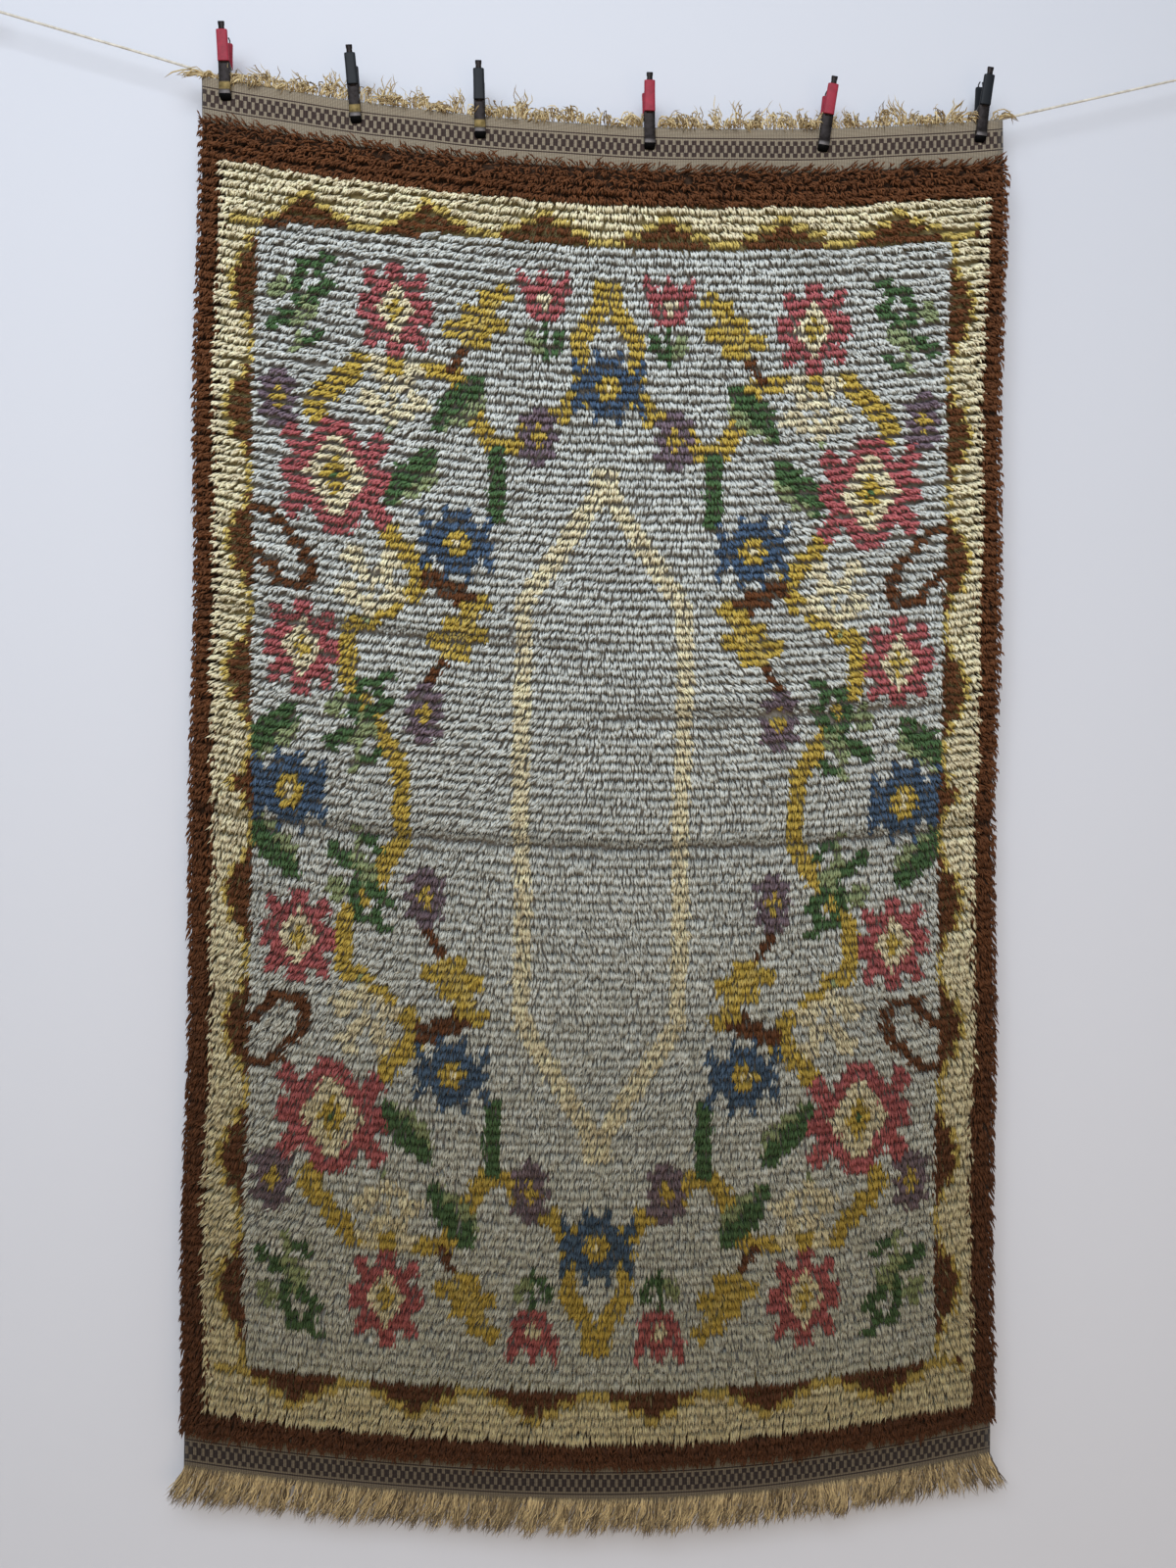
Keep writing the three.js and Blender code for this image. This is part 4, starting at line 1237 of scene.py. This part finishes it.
class RYA_OT_fit_clips(bpy.types.Operator):
    """Form the six crocodile clips where they grip the top edge"""
    bl_idname = "rya.fit_clips"
    bl_label = "Fit clips"

    def execute(self, context):
        steel = plated_steel()
        wire = spring_wire()
        vinyl = {"red": dipped_vinyl("red", "#8c2636"), "black": dipped_vinyl("black", "#0b1016")}
        for number, clip in enumerate(CLIPS, start=1):
            place = self.placer(clip)
            name = f"clip_{number}"
            for side, way, width in (("front", -1, FRONT_LEG_WIDTH), ("back", 1, BACK_LEG_WIDTH)):
                end = [self.handle(way, 1.0)] if way < 0 else [self.handle(way, TANG_TOP), *self.prongs(way)]
                points, faces = joined((self.leg(width, way), *end))
                # Height above the jaw's tip, domed across the leg, for the painted shade on the nose and the
                # painted highlight above it
                up = (points[:, 2] + NOSE_DOME * points[:, 0] ** 2) / JAW_UP_SCALE
                brassy = np.full(len(points), float(number in HIGHLIT_CLIPS))
                mesh_piece(f"{name}_{side}_jaw", place(points), faces, steel,
                           (f"{name}_{side}_leg",), {"up": up, "brassy": brassy})
                points, faces = self.sleeve(way)
                mesh_piece(f"{name}_{side}_grip", place(points), faces, vinyl[clip.sleeve],
                           (f"{name}_{side}_sleeve",))
            points, faces = self.spring()
            mesh_piece(f"{name}_coil", place(points), faces, wire, (f"{name}_spring",))
        return {"FINISHED"}

    def placer(self, clip):
        """A function that sets the clip's own points on the rug's edge."""
        lean = math.radians(clip.lean)
        drop = float(sag(np.array(float(clip.x)), np.array(0.0)))
        turned = np.array(Matrix.Rotation(lean, 3, "Y"))
        origin = np.array((clip.x, 0.0, -drop - clip.grip)) + TO_FRAME
        return lambda points: (points @ turned.T + origin) * MM

    def leg(self, width, way):
        """A channel pressed from sheet: a bowed back, side flanges with teeth, and ears."""
        rings = []
        for s in LEG_STATIONS:
            half = width * s.width / 2
            back = s.out
            floor = min(s.inner, back - LEG_THICKNESS - 0.2)
            inside = half - LEG_THICKNESS
            under = back - LEG_THICKNESS - 0.01
            shoulder = back - LEG_CORNER
            rings.append([
                (-half, floor), (-half, shoulder), (-half + LEG_CORNER, back), (half - LEG_CORNER, back),
                (half, shoulder), (half, floor), (inside, floor), (inside, under), (-inside, under),
                (-inside, floor),
            ])
        points = np.array([(x, way * out, s.up) for s, ring in zip(LEG_STATIONS, rings) for x, out in ring])
        faces = tube_faces(len(rings), len(rings[0]))
        return points, faces if way > 0 else faces[:, ::-1]

    def along_handle(self, share):
        (out0, up0), (out1, up1) = HANDLE_FROM, HANDLE_TO
        return out0 + (out1 - out0) * share, up0 + (up1 - up0) * share

    def handle(self, way, top):
        """The flat tang that the sleeve covers, up to a share of its length, with a swollen end."""
        rings = []
        thick = LEG_THICKNESS / 2
        for share, narrow in ((0.0, 1.0), (0.83, 0.92), (0.88, 0.88), (0.93, 1.0), (0.985, 1.02), (1.0, 0.9)):
            out, up = self.along_handle(share * top)
            half = HANDLE_WIDTH / 2 * narrow
            rings.append([(x, way * (out + through), up) for x, through in (
                (-half, -thick), (half, -thick), (half, thick), (-half, thick))])
        faces = tube_faces(len(rings), 4)
        return np.array(rings).reshape(-1, 3), faces if way < 0 else faces[:, ::-1]

    def prongs(self, way):
        """The two thin claws in which the back tang ends, above its sleeve."""
        made = []
        for side in (-1, 1):
            path = []
            for share, aside, out_more in (
                    (0.8, 3.4, 0.0), (0.87, 3.4, 0.6), (0.93, 3.0, 0.2), (0.99, 1.6, -1.6)):
                out, up = self.along_handle(share)
                path.append((side * aside, way * (out + out_more), up))
            made.append(tube(smooth_route(path, 9), 0.95, 6))
        return made

    def sleeve(self, way):
        """A soft oval sleeve, rounded at its ends and a little flared at its mouth."""
        (out0, up0), (out1, up1) = HANDLE_FROM, HANDLE_TO
        along = unit(np.array((0.0, way * (out1 - out0), up1 - up0)))
        start = np.array((0.0, way * out0, up0))
        beside = np.array((1.0, 0.0, 0.0))
        through = np.cross(along, beside)
        turns = 2 * np.pi * np.arange(20) / 20
        rings = []
        profile = ((0.0, 0.93), (0.006, 0.985), (0.03, 1.0), (0.10, 1.0), (0.35, 0.97), (0.7, 0.95),
                   (0.9, 0.955), (0.975, 0.95), (0.994, 0.925), (1.0, 0.87))
        for share, swell in profile:
            middle = start + (SLEEVE_START + SLEEVE_LENGTH * share) * along
            # A superellipse between an oval and a rectangle
            x = np.sign(np.cos(turns)) * np.abs(np.cos(turns)) ** 0.55 * SLEEVE_WIDTH / 2 * swell
            y = np.sign(np.sin(turns)) * np.abs(np.sin(turns)) ** 0.7 * SLEEVE_THICKNESS / 2 * swell
            rings.append(middle + x[:, None] * beside + y[:, None] * through)
        faces = tube_faces(len(rings), len(turns))
        return np.array(rings).reshape(-1, 3), faces

    def spring(self):
        """The coil round the pivot pin, between the ears."""
        turns = np.linspace(0, 2 * math.pi * COIL_TURNS, COIL_RINGS)
        coil = COIL_RADIUS * circle(turns, np.array((0.0, 1.0, 0.0)), np.array((0.0, 0.0, 1.0)))
        coil = coil + np.linspace((-COIL_HALF, 0.0, PIVOT_UP), (COIL_HALF, 0.0, PIVOT_UP), COIL_RINGS)
        pin = np.array([(x, 0.0, PIVOT_UP) for x in np.linspace(-8.4, 8.4, 4)])
        heads = [np.array([(x, 0.0, PIVOT_UP) for x in (side * 8.0, side * 8.9)]) for side in (-1, 1)]
        return joined((tube(coil, 0.75, 6), tube(pin, 1.2, 10), *(tube(head, 2.2, 12) for head in heads)))


class RYA_OT_set_room(bpy.types.Operator):
    """Put a pale wall and floor around the rug, and light them softly"""
    bl_idname = "rya.set_room"
    bl_label = "Set room"

    def execute(self, context):
        room = context.scene.rya_room
        low, high = CAD_BOX
        floor_z = low[2] - room.floor_gap
        middle_x = (low[0] + high[0]) / 2
        wall = self.plane("wall", (middle_x, room.wall_gap, floor_z + 2.0), (7.0, 4.0),
                          (math.radians(90), 0, 0), wall_paint("matt_white_wall_paint", "#c9cbd2", True))
        # The back lamp stands behind the wall, and lights the rug's back through it
        wall.visible_shadow = False
        floor = self.plane("floor", (middle_x, 0.0, floor_z), (9.0, 9.0), (0, 0, 0),
                           wall_paint("pale_floor_paint", "#b9aa96", False))
        self.lamp("key", (middle_x - 0.6, -3.0, 0.45), (middle_x, 0, -1.0), (2.8, 2.0),
                  room.key_power, "#ecf4fd")
        self.lamp("fill", (middle_x + 0.3, -2.4, -2.1), (middle_x, 0, -1.9), (1.6, 1.6),
                  room.fill_power, "#ffdcae")
        self.lamp("back", (middle_x + 0.6, 2.4, 0.3), (middle_x, 0, -1.0), (2.0, 2.0),
                  room.back_power, "#fff8f0")
        world = bpy.data.worlds.new("pale_room")
        world.use_nodes = True
        background = world.node_tree.nodes["Background"]
        background.inputs["Color"].default_value = (*linear("#e6eaf0"), 1)
        background.inputs["Strength"].default_value = 0.45
        context.scene.world = world
        context.scene.view_settings.view_transform = "Standard"
        return {"FINISHED"}

    def plane(self, name, place, size, turn, material):
        x, y = size[0] / 2, size[1] / 2
        mesh = bpy.data.meshes.new(name)
        mesh.from_pydata([(-x, -y, 0), (x, -y, 0), (x, y, 0), (-x, y, 0)], [], [(0, 1, 2, 3)])
        mesh.materials.append(material)
        made = bpy.data.objects.new(name, mesh)
        made.location = place
        made.rotation_euler = turn
        bpy.context.scene.collection.objects.link(made)
        return made

    def lamp(self, name, place, target, size, power, hex_colour):
        light = bpy.data.lights.new(name, "AREA")
        light.shape = "RECTANGLE"
        light.size, light.size_y = size
        light.energy = power
        light.color = linear(hex_colour)
        stand = bpy.data.objects.new(name, light)
        stand.location = place
        stand.rotation_euler = (Vector(target) - Vector(place)).to_track_quat("-Z", "Y").to_euler()
        bpy.context.scene.collection.objects.link(stand)


class RYA_PT_making(bpy.types.Panel):
    """Steps of making the rug"""
    bl_label = "Rya rug"
    bl_idname = "RYA_PT_making"
    bl_space_type = "VIEW_3D"
    bl_region_type = "UI"
    bl_category = "Rya"

    def draw(self, context):
        for operator in OPERATORS:
            self.layout.operator(operator.bl_idname)
        for group in (context.scene.rya_sizes, context.scene.rya_yarns, context.scene.rya_room):
            box = self.layout.box()
            for name in group.__annotations__:
                box.prop(group, name)


OPERATORS = (
    RYA_OT_place_camera,
    RYA_OT_stretch_line,
    RYA_OT_weave_ground,
    RYA_OT_knot_pile,
    RYA_OT_knot_fringes,
    RYA_OT_fit_clips,
    RYA_OT_set_room,
)
GROUPS = {"rya_yarns": RyaYarns, "rya_sizes": RyaSizes, "rya_room": RyaRoom}


def register():
    for made in (*GROUPS.values(), *OPERATORS, RYA_PT_making):
        bpy.utils.register_class(made)
    for name, group in GROUPS.items():
        setattr(bpy.types.Scene, name, PointerProperty(type=group))


def unregister():
    for name in GROUPS:
        delattr(bpy.types.Scene, name)
    for made in (RYA_PT_making, *reversed(OPERATORS), *reversed(tuple(GROUPS.values()))):
        bpy.utils.unregister_class(made)


def main():
    register()
    bpy.ops.rya.place_camera()
    bpy.ops.rya.stretch_line()
    bpy.ops.rya.weave_ground()
    bpy.ops.rya.knot_pile()
    bpy.ops.rya.knot_fringes()
    bpy.ops.rya.fit_clips()
    bpy.ops.rya.set_room()


if __name__ == "__main__":
    main()
